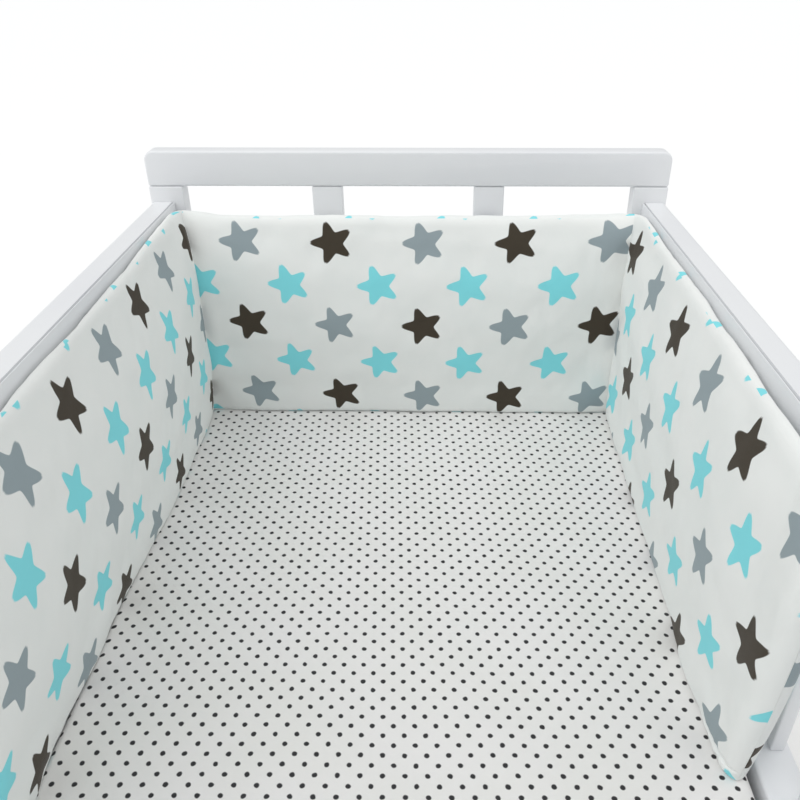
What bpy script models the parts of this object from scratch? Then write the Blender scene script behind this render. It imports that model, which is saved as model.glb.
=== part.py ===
"""A padded bumper lining the head end of a crib, with the crib and its mattress.

Metres, +Z up. The origin is on the floor under the middle of the crib. +Y runs to the head end, +X to the
right of someone who looks towards it. The pad stands on the mattress, bent into a U.
"""

import math
from typing import NamedTuple

import bmesh
import bpy
from mathutils import Vector

# Crib, driving dimensions
INNER_LENGTH = 1.240  # between the head and the foot end
INNER_WIDTH = 0.625  # between the side rails
SIDE_THICK = 0.031
BOARD_THICK = 0.0375
END_THICK = 0.024
END_WIDTH = 0.688
POST_WIDTH = 0.045
MATTRESS_TOP = 0.520  # above the floor
SIDE_RAIL_TOP = 0.3075  # these heights are above the mattress
SIDE_RAIL_TALL = 0.045
END_RAIL_TOP = 0.3738
END_RAIL_TALL = 0.0455
END_RAIL_EDGE = 0.003
BOARD_TOP = -0.001
BOARD_TALL = 0.135
END_SLAT_WIDTH = 0.040
END_SLAT_THICK = 0.016
END_SLAT_OFFSET = 0.1075
END_BOARD_THICK = 0.018
END_SET_BACK = 0.001  # of the slats and the board behind the face of the posts
SIDE_SLAT_WIDTH = 0.048
SIDE_SLAT_THICK = 0.013
SIDE_SLAT_SET_IN = 0.0005  # from the outer face of the rail
SIDE_SLATS = 12
BASE_SLATS = 8
BASE_SLAT_WIDTH = 0.070
BASE_SLAT_THICK = 0.012
BASE_END_SPACE = 0.030
BASE_SIDE_SPACE = 0.001
LEDGER_TALL = 0.025
LEDGER_DEEP = 0.0245
EDGE = 0.002
BOARD_EDGE = 0.003
RAIL_EDGE = 0.006
RAIL_CORNER = 0.013
RAIL_INNER_EDGE = 0.0008
GROOVE_IN = 0.0010
GROOVE_WIDE = 0.0014
GROOVE_DEEP = 0.0020
GAP = 0.0003  # between pieces that touch

# Steps in a quarter turn, and the angle past which an edge stays sharp
ROUND_STEPS = 3
CORNER_STEPS = 5
SHARP_DEGREES = 40.0
PAD_SHARP_DEGREES = 60.0

# Mattress in its sheet
MATTRESS_WIDTH = 0.608
MATTRESS_LENGTH = 1.208
MATTRESS_TALL = 0.100
MATTRESS_CORNER = 0.030
MATTRESS_EDGE = 0.009

# Bumper pad
PAD_CLEAR = 0.002  # from the side rails
PAD_CLEAR_HEAD = 0.0022
PAD_FULL_HEIGHT = 0.100  # where the face reaches its crown
PAD_TOP_ROUND = 0.090  # height over which the face draws in to the ridge
PAD_RIDGE_SHARE = 0.22
PAD_BACK_ROUND = 0.020
PAD_BACK_SWELL = 0.004  # into the space between the upright slats
PAD_BACK_SWELL_RUN = 0.100  # over which it grows from the corner
PAD_BACK_SWELL_TOP = 0.020  # under the rail's underside
PAD_BACK_TUCK = 0.002
TOP_STEPS = 6
RING_STEP = 0.040
CORNER_CLEAR = 0.048  # from the back corner to the first square ring
OUTER_CORNER_CUT = 0.0065
END_ROUND = 0.015
END_CLOSING = (0.0, 0.40, 0.70, 0.88, 0.975)
END_BLEND = 0.120
END_FOOT_PULL = 0.0192
END_FOOT_PULL_HEIGHT = 0.260
END_TOP_PULL = 0.020
END_TOP_PULL_HEIGHT = 0.070


class Level(NamedTuple):
    """One height on the lower part of the pad's face."""

    height: float  # above the mattress
    tuck: float  # how far the face draws in there, under the foot and in the sewn channel


FACE_LEVELS = (
    Level(0.000, 0.0040),
    Level(0.003, 0.0010),
    Level(0.007, 0.0000),
    Level(0.012, 0.0026),
    Level(0.018, 0.0000),
    Level(0.036, 0.0000),
    Level(0.064, 0.0000),
    Level(0.100, 0.0000),
    Level(0.150, 0.0000),
)


class Station(NamedTuple):
    """The pad's section at one place along a panel."""

    along: float  # from the panel's first back corner
    foot: float  # depth of the face at the mattress, from the back plane
    crown: float  # how far the face swells out over its foot
    stand_off: float  # between the pad's back and the back plane
    top: float  # height of the ridge above the mattress


SIDE_LEFT = (
    Station(0.000, 0.0178, 0.0090, 0.000, 0.3075),
    Station(0.120, 0.0200, 0.0065, 0.000, 0.3020),
    Station(0.240, 0.0210, 0.0050, 0.000, 0.2960),
    Station(0.400, 0.0132, 0.0045, 0.000, 0.2955),
    Station(0.500, 0.0120, 0.0045, 0.000, 0.2945),
    Station(0.590, 0.0122, 0.0045, 0.000, 0.2950),
    Station(0.680, 0.0180, 0.0045, 0.001, 0.2955),
    Station(0.744, 0.0230, 0.0045, 0.003, 0.2950),
)
HEAD_END = (
    Station(0.000, 0.0342, 0.0045, 0.006, 0.3005),
    Station(0.080, 0.0344, 0.0045, 0.006, 0.2935),
    Station(0.200, 0.0346, 0.0045, 0.006, 0.2930),
    Station(0.330, 0.0358, 0.0045, 0.006, 0.2935),
    Station(0.450, 0.0370, 0.0045, 0.006, 0.2940),
    Station(0.550, 0.0376, 0.0045, 0.006, 0.2950),
    Station(0.621, 0.0380, 0.0045, 0.006, 0.2980),
)
SIDE_RIGHT = (
    Station(0.000, 0.0190, 0.0035, 0.000, 0.3035),
    Station(0.165, 0.0226, 0.0040, 0.000, 0.2990),
    Station(0.315, 0.0270, 0.0045, 0.000, 0.2980),
    Station(0.430, 0.0288, 0.0045, 0.001, 0.2970),
    Station(0.520, 0.0340, 0.0045, 0.005, 0.2970),
    Station(0.590, 0.0315, 0.0045, 0.006, 0.2960),
    Station(0.640, 0.0305, 0.0045, 0.007, 0.2940),
)

# Worked out from the sizes above
HALF_LENGTH = INNER_LENGTH / 2
HALF_WIDTH = INNER_WIDTH / 2
END_HALF_WIDTH = END_WIDTH / 2
OUTER_HALF_LENGTH = HALF_LENGTH + END_THICK
END_RAIL_BOTTOM = END_RAIL_TOP - END_RAIL_TALL
SIDE_RAIL_BOTTOM = SIDE_RAIL_TOP - SIDE_RAIL_TALL
BOARD_BOTTOM = BOARD_TOP - BOARD_TALL
BASE_TOP = -MATTRESS_TALL - GAP
PAD_BACK_X = HALF_WIDTH - PAD_CLEAR
PAD_BACK_Y = HALF_LENGTH - PAD_CLEAR_HEAD


def clear_scene():
    for obj in list(bpy.data.objects):
        bpy.data.objects.remove(obj)


def make_material(name, color, roughness):
    material = bpy.data.materials.new(name)
    material.use_nodes = True
    shader = material.node_tree.nodes["Principled BSDF"]
    shader.inputs["Base Color"].default_value = (*color, 1.0)
    shader.inputs["Roughness"].default_value = roughness
    shader.inputs["Metallic"].default_value = 0.0
    return material


def add_object(name, mesh_data, material, center=(0.0, 0.0, 0.0)):
    mesh = bpy.data.meshes.new(name)
    bmesh.ops.recalc_face_normals(mesh_data, faces=mesh_data.faces[:])
    mesh_data.to_mesh(mesh)
    mesh_data.free()
    mesh.materials.append(material)
    obj = bpy.data.objects.new(name, mesh)
    obj.location = center
    bpy.context.scene.collection.objects.link(obj)
    return obj


def smooth_shading(obj, sharp_degrees):
    obj.data.shade_smooth()
    obj.data.set_sharp_from_angle(angle=math.radians(sharp_degrees))


def board(name, low, high, material, edge=EDGE):
    """A straight board between two opposite corners, its edges eased."""
    size = Vector(high) - Vector(low)
    mesh_data = bmesh.new()
    bmesh.ops.create_cube(mesh_data, size=1.0)
    bmesh.ops.scale(mesh_data, vec=size, verts=mesh_data.verts)
    bmesh.ops.bevel(mesh_data, geom=mesh_data.edges[:], offset=edge, segments=1, affect="EDGES")
    return add_object(name, mesh_data, material, center=(Vector(low) + Vector(high)) / 2)


def arc(center_u, center_v, radius, start_degrees, steps):
    """A quarter turn of points, anticlockwise."""
    angles = [math.radians(start_degrees + 90.0 * i / steps) for i in range(steps + 1)]
    return [(center_u + radius * math.cos(a), center_v + radius * math.sin(a)) for a in angles]


def rounded_rectangle(half_u, low_v, high_v, low_radius, high_radius, steps):
    """An anticlockwise outline with one radius at its two low corners and one at its high ones."""
    outline = arc(-half_u + low_radius, low_v + low_radius, low_radius, 180.0, steps)
    outline += arc(half_u - low_radius, low_v + low_radius, low_radius, 270.0, steps)
    outline += arc(half_u - high_radius, high_v - high_radius, high_radius, 0.0, steps)
    outline += arc(-half_u + high_radius, high_v - high_radius, high_radius, 90.0, steps)
    return outline


def stack_rings(mesh_data, rings):
    """Joins closed rings of equal length into one tube and closes its two ends."""
    loops = [[mesh_data.verts.new(point) for point in ring] for ring in rings]
    count = len(loops[0])
    for lower, upper in zip(loops, loops[1:]):
        for i in range(count):
            j = (i + 1) % count
            mesh_data.faces.new((lower[i], lower[j], upper[j], upper[i]))
    mesh_data.faces.new(list(reversed(loops[0])))
    mesh_data.faces.new(loops[-1])


def edge_profile(low, high, radius, steps):
    """(position, inset) pairs of a slab whose two rims are rounded."""
    angles = [math.radians(90.0 * i / steps) for i in range(steps + 1)]
    first = [(low + radius * (1 - math.sin(a)), radius * (1 - math.cos(a))) for a in reversed(angles)]
    return first + [(high - (position - low), inset) for position, inset in reversed(first)]


def build_mattress(material):
    rings = []
    for height, inset in edge_profile(0.0, MATTRESS_TALL, MATTRESS_EDGE, ROUND_STEPS):
        half_length = MATTRESS_LENGTH / 2 - inset
        corner = MATTRESS_CORNER - inset
        outline = rounded_rectangle(
            MATTRESS_WIDTH / 2 - inset, -half_length, half_length, corner, corner, CORNER_STEPS
        )
        rings.append([(x, y, height) for x, y in outline])
    mesh_data = bmesh.new()
    stack_rings(mesh_data, rings)
    bottom = MATTRESS_TOP - MATTRESS_TALL
    obj = add_object("mattress", mesh_data, material, center=(0.0, 0.0, bottom))
    smooth_shading(obj, SHARP_DEGREES)


def build_end(prefix, side, material):
    """The head end (side +1) or the foot end (side -1)."""
    inner = side * HALF_LENGTH
    outer = side * OUTER_HALF_LENGTH

    def span(start, thickness):
        ends = (inner + side * start, inner + side * (start + thickness))
        return min(ends), max(ends)

    post_y = (min(inner, outer), max(inner, outer))
    post_inner = END_HALF_WIDTH - POST_WIDTH
    post_top = MATTRESS_TOP + END_RAIL_BOTTOM - GAP
    board(
        f"{prefix}_post_left",
        (-END_HALF_WIDTH, post_y[0], 0.0),
        (-post_inner, post_y[1], post_top),
        material,
    )
    board(
        f"{prefix}_post_right",
        (post_inner, post_y[0], 0.0),
        (END_HALF_WIDTH, post_y[1], post_top),
        material,
    )
    slat_y = span(END_SET_BACK, END_SLAT_THICK)
    for number, x in enumerate((-END_SLAT_OFFSET, END_SLAT_OFFSET), start=1):
        board(
            f"{prefix}_slat_{number}",
            (x - END_SLAT_WIDTH / 2, slat_y[0], MATTRESS_TOP + BOARD_TOP + GAP),
            (x + END_SLAT_WIDTH / 2, slat_y[1], post_top),
            material,
        )
    board_y = span(END_SET_BACK, END_BOARD_THICK)
    board(
        f"{prefix}_board",
        (-post_inner + GAP, board_y[0], MATTRESS_TOP + BOARD_BOTTOM),
        (post_inner - GAP, board_y[1], MATTRESS_TOP + BOARD_TOP),
        material,
    )
    build_end_rail(f"{prefix}_top_rail", min(inner, outer), material)


def build_end_rail(name, low_y, material):
    """The rail across the two posts, its upper corners turned to a radius."""
    rings = []
    for depth, inset in edge_profile(0.0, END_THICK, END_RAIL_EDGE, ROUND_STEPS):
        outline = rounded_rectangle(
            END_HALF_WIDTH - inset,
            inset,
            END_RAIL_TALL - inset,
            EDGE / 2,
            RAIL_CORNER - inset,
            CORNER_STEPS,
        )
        rings.append([(x, depth, z) for x, z in outline])
    mesh_data = bmesh.new()
    stack_rings(mesh_data, rings)
    center = (0.0, low_y, MATTRESS_TOP + END_RAIL_BOTTOM)
    obj = add_object(name, mesh_data, material, center=center)
    smooth_shading(obj, SHARP_DEGREES)


def side_rail_outline():
    """The top rail's section: x from its inner face outwards, z from its underside."""
    wide = SIDE_THICK
    tall = SIDE_RAIL_TALL
    outline = [(EDGE, 0.0), (wide - EDGE, 0.0), (wide, EDGE)]
    outline += arc(wide - RAIL_EDGE, tall - RAIL_EDGE, RAIL_EDGE, 0.0, ROUND_STEPS)
    outline += [
        (GROOVE_IN + GROOVE_WIDE, tall),
        (GROOVE_IN + GROOVE_WIDE / 2, tall - GROOVE_DEEP),
        (GROOVE_IN, tall),
        (RAIL_INNER_EDGE, tall),
        (0.0, tall - RAIL_INNER_EDGE),
        (0.0, EDGE),
    ]
    return outline


def build_side_rail(name, side, material):
    length = HALF_LENGTH - GAP
    outline = [(side * (HALF_WIDTH + x), z) for x, z in side_rail_outline()]
    rings = [[(x, y, z) for x, z in outline] for y in (-length, length)]
    mesh_data = bmesh.new()
    stack_rings(mesh_data, rings)
    center = (0.0, 0.0, MATTRESS_TOP + SIDE_RAIL_BOTTOM)
    obj = add_object(name, mesh_data, material, center=center)
    smooth_shading(obj, SHARP_DEGREES)


def build_side(word, side, material, base_material):
    """One long side: its top rail, its board with the ledger inside it, and its upright slats."""
    length = HALF_LENGTH - GAP

    def between(start, end):
        ends = (side * (HALF_WIDTH + start), side * (HALF_WIDTH + end))
        return min(ends), max(ends)

    build_side_rail(f"side_top_rail_{word}", side, material)
    board_x = between(0.0, BOARD_THICK)
    board(
        f"side_board_{word}",
        (board_x[0], -length, MATTRESS_TOP + BOARD_BOTTOM),
        (board_x[1], length, MATTRESS_TOP + BOARD_TOP),
        material,
        edge=BOARD_EDGE,
    )
    ledger_x = between(-GAP - LEDGER_DEEP, -GAP)
    ledger_top = MATTRESS_TOP + BASE_TOP - BASE_SLAT_THICK - GAP
    board(
        f"base_ledger_{word}",
        (ledger_x[0], -length, ledger_top - LEDGER_TALL),
        (ledger_x[1], length, ledger_top),
        base_material,
    )
    slat_outer = SIDE_THICK - SIDE_SLAT_SET_IN
    slat_x = between(slat_outer - SIDE_SLAT_THICK, slat_outer)
    gap = (INNER_LENGTH - SIDE_SLATS * SIDE_SLAT_WIDTH) / (SIDE_SLATS + 1)
    for i in range(SIDE_SLATS):
        low_y = -HALF_LENGTH + gap + i * (gap + SIDE_SLAT_WIDTH)
        board(
            f"side_slat_{word}_{i + 1:02d}",
            (slat_x[0], low_y, MATTRESS_TOP + BOARD_TOP + GAP),
            (slat_x[1], low_y + SIDE_SLAT_WIDTH, MATTRESS_TOP + SIDE_RAIL_BOTTOM - GAP),
            material,
        )


def build_base_slats(material):
    half_x = HALF_WIDTH - BASE_SIDE_SPACE
    top = MATTRESS_TOP + BASE_TOP
    pitch = (INNER_LENGTH - BASE_SLAT_WIDTH - 2 * BASE_END_SPACE) / (BASE_SLATS - 1)
    for i in range(BASE_SLATS):
        y = (i - (BASE_SLATS - 1) / 2) * pitch
        board(
            f"base_slat_{i + 1}",
            (-half_x, y - BASE_SLAT_WIDTH / 2, top - BASE_SLAT_THICK),
            (half_x, y + BASE_SLAT_WIDTH / 2, top),
            material,
        )


def station_at(table, along):
    """The section at a distance along a panel, eased between the rows on each side."""
    for before, after in zip(table, table[1:]):
        if along <= after.along:
            break
    share = (along - before.along) / (after.along - before.along)
    share = min(max(share, 0.0), 1.0)
    share = share * share * (3 - 2 * share)
    return Station(*(a + (b - a) * share for a, b in zip(before, after)))


def face_depth(station, height):
    """How far the face stands from the back plane at a height above the mattress."""
    full = station.foot + station.crown
    shoulder = station.top - PAD_TOP_ROUND
    if height < PAD_FULL_HEIGHT:
        return full - station.crown * (1 - height / PAD_FULL_HEIGHT) ** 2
    if height <= shoulder:
        return full
    ridge = ridge_depth(station)
    rise = (height - shoulder) / PAD_TOP_ROUND
    return ridge + (full - ridge) * math.sqrt(max(0.0, 1 - rise * rise))


def ridge_depth(station):
    full = station.foot + station.crown
    return station.stand_off + PAD_RIDGE_SHARE * (full - station.stand_off)


def back_depth(station, height, swell):
    """Where the pad's back is: against the rail near its top, swelling between the slats below."""
    shoulder = station.top - PAD_BACK_ROUND
    if height >= shoulder:
        rise = (height - shoulder) / PAD_BACK_ROUND
        curve = 1 - math.sqrt(max(0.0, 1 - rise * rise))
        return station.stand_off + (ridge_depth(station) - station.stand_off) * curve
    if height == 0.0:
        return station.stand_off + PAD_BACK_TUCK
    below_rail = SIDE_RAIL_BOTTOM - PAD_BACK_SWELL_TOP
    share = math.sin(math.pi * min(height / below_rail, 1.0))
    return station.stand_off - swell * share


def all_levels(station):
    """The levels of the face, those where it draws in to the ridge worked out round a quarter turn."""
    shoulder = station.top - PAD_TOP_ROUND
    angles = [math.radians(90.0 * i / TOP_STEPS) for i in range(TOP_STEPS)]
    return list(FACE_LEVELS) + [Level(shoulder + PAD_TOP_ROUND * math.sin(a), 0.0) for a in angles]


def pad_section(station, swell=0.0):
    """(depth, height) pairs up the face, over the ridge and down the back."""
    levels = all_levels(station)
    face = [(face_depth(station, level.height) - level.tuck, level.height) for level in levels]
    ridge = [(ridge_depth(station), station.top)]
    back = [(back_depth(station, level.height, swell), level.height) for level in reversed(levels)]
    return face + ridge + back


def panel_ring(origin, direction, inward, table, along):
    station = station_at(table, along)
    foot = origin + direction * along
    return [(*(foot + inward * depth), height) for depth, height in pad_section(station)]


def corner_ring(corner, inward_before, before, inward_after, after):
    """The ring in the mitre between two panels. Its back is cut in, as a filled pad's is."""
    ring = []
    for (depth_a, z_a), (depth_b, z_b) in zip(pad_section(before), pad_section(after)):
        back_share = 1 - min(1.0, depth_a / before.foot)
        cut = OUTER_CORNER_CUT * back_share
        point = corner + inward_before * (depth_a + cut) + inward_after * (depth_b + cut)
        ring.append((*point, (z_a + z_b) / 2))
    return ring


def end_pull(height, top):
    """How far the free end stays back from its longest reach, at a height."""
    foot = max(0.0, 1 - height / END_FOOT_PULL_HEIGHT)
    head = max(0.0, 1 - (top - height) / END_TOP_PULL_HEIGHT)
    return END_FOOT_PULL * foot**2 + END_TOP_PULL * head**2


def free_end_rings(origin, direction, inward, table, swell):
    """The last rings of a side panel, closing to its rounded upright end."""
    length = table[-1].along
    rings = []
    for share in END_CLOSING:
        along = length - END_ROUND * (1 - share)
        station = station_at(table, along)
        thin = math.sqrt(1 - share * share)
        middle = (station.stand_off + station.foot) / 2
        ring = []
        for depth, height in pad_section(station, swell * thin):
            depth = middle + (depth - middle) * thin
            place = origin + direction * (along - end_pull(height, station.top)) + inward * depth
            ring.append((*place, height))
        rings.append(ring)
    return rings


def side_rings(origin, direction, inward, table):
    """Rings from the head corner to the free end, the end's pull fading in over the last ones."""
    length = table[-1].along - END_ROUND
    count = round((length - CORNER_CLEAR) / RING_STEP)
    rings = []
    for i in range(count):
        along = CORNER_CLEAR + (length - CORNER_CLEAR) * i / count
        station = station_at(table, along)
        blend = max(0.0, 1 - (length - along) / END_BLEND) ** 2
        swell = PAD_BACK_SWELL * min(1.0, (along - CORNER_CLEAR) / PAD_BACK_SWELL_RUN)
        ring = []
        for depth, height in pad_section(station, swell):
            pull = blend * end_pull(height, station.top)
            place = origin + direction * (along - pull) + inward * depth
            ring.append((*place, height))
        rings.append(ring)
    return rings + free_end_rings(origin, direction, inward, table, PAD_BACK_SWELL)


def head_rings(origin, direction, inward):
    length = 2 * PAD_BACK_X
    run = length - 2 * CORNER_CLEAR
    count = round(run / RING_STEP)
    return [
        panel_ring(origin, direction, inward, HEAD_END, CORNER_CLEAR + run * i / count)
        for i in range(count + 1)
    ]


def close_pad_end(mesh_data, loop):
    """Faces across a free end, between the face's points and the back's at the same heights."""
    levels = len(loop) // 2
    for i in range(levels - 1):
        mesh_data.faces.new((loop[i], loop[i + 1], loop[-2 - i], loop[-1 - i]))
    mesh_data.faces.new((loop[levels - 1], loop[levels], loop[levels + 1]))


def build_pad(material):
    left_corner = Vector((-PAD_BACK_X, PAD_BACK_Y))
    right_corner = Vector((PAD_BACK_X, PAD_BACK_Y))
    to_foot = Vector((0.0, -1.0))
    to_right = Vector((1.0, 0.0))
    left = side_rings(left_corner, to_foot, to_right, SIDE_LEFT)
    right = side_rings(right_corner, to_foot, -to_right, SIDE_RIGHT)
    rings = list(reversed(left))
    rings.append(corner_ring(left_corner, to_right, SIDE_LEFT[0], to_foot, HEAD_END[0]))
    rings += head_rings(left_corner, to_right, to_foot)
    rings.append(corner_ring(right_corner, to_foot, HEAD_END[-1], -to_right, SIDE_RIGHT[0]))
    rings += right
    mesh_data = bmesh.new()
    loops = [[mesh_data.verts.new(point) for point in ring] for ring in rings]
    count = len(loops[0])
    for before, after in zip(loops, loops[1:]):
        for i in range(count):
            j = (i + 1) % count
            mesh_data.faces.new((before[i], after[i], after[j], before[j]))
    close_pad_end(mesh_data, loops[0])
    close_pad_end(mesh_data, loops[-1])
    obj = add_object("bumper_pad", mesh_data, material, center=(0.0, 0.0, MATTRESS_TOP + GAP))
    smooth_shading(obj, PAD_SHARP_DEGREES)


def main():
    clear_scene()
    printed_cotton = make_material("printed_cotton", (0.80, 0.82, 0.81), 0.85)
    dotted_cotton = make_material("dotted_cotton", (0.76, 0.76, 0.75), 0.88)
    crib_paint = make_material("crib_paint", (0.72, 0.73, 0.75), 0.38)
    base_timber = make_material("base_timber", (0.62, 0.49, 0.33), 0.60)
    build_end("head", 1, crib_paint)
    build_end("foot", -1, crib_paint)
    build_side("left", -1, crib_paint, base_timber)
    build_side("right", 1, crib_paint, base_timber)
    build_base_slats(base_timber)
    build_mattress(dotted_cotton)
    build_pad(printed_cotton)


main()
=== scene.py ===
"""The looks of a star-printed bumper pad round the head end of a painted crib.

Metres, +Z up, +Y to the head end, +X to the right of someone who looks towards it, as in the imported
model. The pad and the mattress are soft pieces of their own. Every board of the crib is worked again
with rounded edges and painted.
"""

import logging
import math
from collections.abc import Callable
from dataclasses import astuple, dataclass
from enum import Enum

import bmesh
import bpy
import numpy as np
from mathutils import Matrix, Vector


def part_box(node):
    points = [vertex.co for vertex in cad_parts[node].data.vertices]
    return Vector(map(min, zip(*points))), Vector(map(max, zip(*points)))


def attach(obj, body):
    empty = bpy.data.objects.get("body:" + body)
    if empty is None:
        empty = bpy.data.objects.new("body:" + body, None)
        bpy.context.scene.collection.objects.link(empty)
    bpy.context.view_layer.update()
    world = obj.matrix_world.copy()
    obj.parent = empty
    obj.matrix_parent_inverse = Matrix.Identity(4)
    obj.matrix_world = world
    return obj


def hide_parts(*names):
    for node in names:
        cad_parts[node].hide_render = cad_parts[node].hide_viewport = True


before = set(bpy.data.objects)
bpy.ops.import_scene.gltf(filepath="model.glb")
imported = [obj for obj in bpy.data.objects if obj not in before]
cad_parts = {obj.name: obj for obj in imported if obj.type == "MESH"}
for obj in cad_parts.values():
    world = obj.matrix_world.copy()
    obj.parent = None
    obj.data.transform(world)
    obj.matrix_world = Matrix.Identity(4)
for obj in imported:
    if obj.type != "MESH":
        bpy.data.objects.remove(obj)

LOG = logging.getLogger("crib")
BODY = "root"
CLOTH_MAP = "cloth"  # a soft piece's map: where each corner lies on its flat cloth, in metres
NOISE = "ShaderNodeTexNoise"
BUMP = "ShaderNodeBump"
SURFACE = "Principled BSDF"
TIGHT = 1e-5  # places this close together count as one

Tree = bpy.types.NodeTree
Node = bpy.types.Node
Socket = bpy.types.NodeSocket
Sockets = tuple[bpy.types.NodeSocket, bpy.types.NodeSocket, bpy.types.NodeSocket]
Rows = tuple[tuple[float, ...], ...]


class Side(Enum):
    """The two long sides of the crib, by the direction of +X."""

    LEFT = -1
    RIGHT = 1

    @property
    def word(self) -> str:
        """The side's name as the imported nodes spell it."""
        return self.name.lower()


class Panel(Enum):
    """The three stretches of the bent pad, in the order in which its cloth runs."""

    LEFT = 0
    HEAD = 1
    RIGHT = 2


# ---------------------------------------------------------------------------------------------------
# Materials


def linear(hex_color: str) -> tuple[float, float, float, float]:
    """Turns a colour as a screen shows it into the linear colour that a shader takes.

    Args:
        hex_color: sRGB as "#rrggbb".

    Returns:
        Linear red, green, blue and an alpha of one.
    """
    channels = [int(hex_color[i : i + 2], 16) / 255 for i in (1, 3, 5)]
    return (*(c / 12.92 if c <= 0.04045 else ((c + 0.055) / 1.055) ** 2.4 for c in channels), 1.0)


def set_node(tree: Tree, node: Node, settings: dict, links: dict | None = None) -> None:
    """Sets and wires a node.

    Args:
        tree: The node tree that the node is in.
        node: The node.
        settings: Values by attribute name, by input name or by input number.
        links: Output sockets by the name or number of the input that each one feeds.
    """
    for key, value in settings.items():
        if isinstance(key, str) and hasattr(node, key):
            setattr(node, key, value)
        else:
            node.inputs[key].default_value = value
    for key, source in (links or {}).items():
        tree.links.new(source, node.inputs[key])


def add_node(tree: Tree, kind: str, settings: dict | None = None, links: dict | None = None) -> Node:
    """Adds one node, set and wired.

    Args:
        tree: The node tree that the node goes into.
        kind: The node's type.
        settings: Values, as set_node takes them.
        links: Output sockets, as set_node takes them.

    Returns:
        The new node.
    """
    node = tree.nodes.new(kind)
    set_node(tree, node, settings or {}, links)
    return node


class Sums:
    """Arithmetic in a node tree: each method adds one node and gives its output."""

    def __init__(self, tree: Tree) -> None:
        """Starts on a tree."""
        self.tree = tree

    def do(self, operation: str, *terms: float | Socket) -> Socket:
        """Adds one Math node.

        Args:
            operation: The node's operation.
            *terms: Its inputs in order, each a number or another node's output.

        Returns:
            The result's socket.
        """
        numbers = {i: term for i, term in enumerate(terms) if isinstance(term, (int, float))}
        sockets = {i: term for i, term in enumerate(terms) if i not in numbers}
        settings = {"operation": operation, **numbers}
        return add_node(self.tree, "ShaderNodeMath", settings, sockets).outputs[0]

    def mix(self, factor: Socket, first: str | Socket, second: str | Socket) -> Socket:
        """Mixes two colours.

        Args:
            factor: How much of the second shows.
            first: A hex colour or a socket.
            second: A hex colour or a socket.

        Returns:
            The mixed colour's socket.
        """
        colors = {6: first, 7: second}
        plain = {i: linear(color) for i, color in colors.items() if isinstance(color, str)}
        sockets = {0: factor, **{i: color for i, color in colors.items() if i not in plain}}
        return add_node(self.tree, "ShaderNodeMix", {"data_type": "RGBA", **plain}, sockets).outputs[2]

    def step(self, value: Socket, low: float, high: float) -> Socket:
        """Goes smoothly from 0 to 1 as the value goes from low to high."""
        settings = {"interpolation_type": "SMOOTHSTEP", "From Min": low, "From Max": high}
        return add_node(self.tree, "ShaderNodeMapRange", settings, {"Value": value}).outputs[0]


def new_material(name: str) -> bpy.types.Material:
    """Makes a node material with its Principled shader.

    Args:
        name: The material's name.

    Returns:
        The new material.
    """
    material = bpy.data.materials.new(name)
    material.use_nodes = True
    return material


@dataclass(frozen=True)
class Weave:
    """Plain weave: warp and weft threads at right angles, one over and one under."""

    # Sheeting has two to three threads to the millimetre, too fine to show, so it is drawn coarser.
    pitch: float = 0.0011
    relief: float = 0.00016
    strength: float = 0.30
    slub: float = 0.006  # length of the thicker places in the yarn
    slub_share: float = 0.8  # their height, beside the threads' own
    rumple: float = 0.035  # width of the soft rumples that ironing leaves
    rumple_relief: float = 0.0011
    rumple_strength: float = 0.5

    def normal(self, tree: Tree, across: Socket, along: Socket, place: Socket) -> Socket:
        """Builds the relief of the threads.

        Args:
            tree: The material's tree.
            across: The coordinate over the warp, in metres.
            along: The coordinate along the warp, in metres.
            place: Both of them as one vector.

        Returns:
            The bent normal.
        """
        sums = Sums(tree)
        turn = 2 * math.pi / self.pitch
        warp = sums.do("SINE", sums.do("MULTIPLY", across, turn))
        weft = sums.do("SINE", sums.do("MULTIPLY", along, turn))
        threads = sums.do("MULTIPLY_ADD", sums.do("MULTIPLY", warp, weft), 0.5, 0.5)
        yarn = {"Scale": 1 / self.slub, "Detail": 2.0, "Roughness": 0.6}
        slubs = add_node(tree, NOISE, yarn, {"Vector": place}).outputs[0]
        height = sums.do("MULTIPLY_ADD", slubs, self.slub_share, threads)
        ironing = {"Scale": 1 / self.rumple, "Detail": 3.0, "Roughness": 0.5}
        rumples = add_node(tree, NOISE, ironing, {"Vector": place}).outputs[0]
        relief = {"Strength": self.rumple_strength, "Distance": self.rumple_relief}
        soft = add_node(tree, BUMP, relief, {"Height": rumples}).outputs[0]
        relief = {"Strength": self.strength, "Distance": self.relief}
        return add_node(tree, BUMP, relief, {"Height": height, "Normal": soft}).outputs[0]


@dataclass(frozen=True)
class Cotton:
    """Woven cotton: matt all over, with a faint bloom from loose fibres where it turns away."""

    weave: Weave = Weave()
    roughness: float = 0.88
    specular: float = 0.22
    sheen: float = 0.12
    sheen_roughness: float = 0.45

    def finish(self, tree: Tree, color: Socket, places: Sockets) -> None:
        """Wires a printed colour and the weave's relief to the surface.

        Args:
            tree: The material's tree.
            color: The printed colour.
            places: Where a point is on the cloth, as cloth_places gives it.
        """
        values = {
            "Roughness": self.roughness,
            "Specular IOR Level": self.specular,
            "Sheen Weight": self.sheen,
            "Sheen Roughness": self.sheen_roughness,
        }
        normal = self.weave.normal(tree, *places)
        set_node(tree, tree.nodes[SURFACE], values, {"Base Color": color, "Normal": normal})


def cloth_places(tree: Tree) -> Sockets:
    """Reads where a point is on the flat cloth.

    Args:
        tree: The material's tree.

    Returns:
        The first distance on the cloth, the second, and both as a vector.
    """
    place = add_node(tree, "ShaderNodeUVMap", {"uv_map": CLOTH_MAP}).outputs[0]
    parts = add_node(tree, "ShaderNodeSeparateXYZ", links={0: place}).outputs
    return parts[0], parts[1], place


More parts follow.
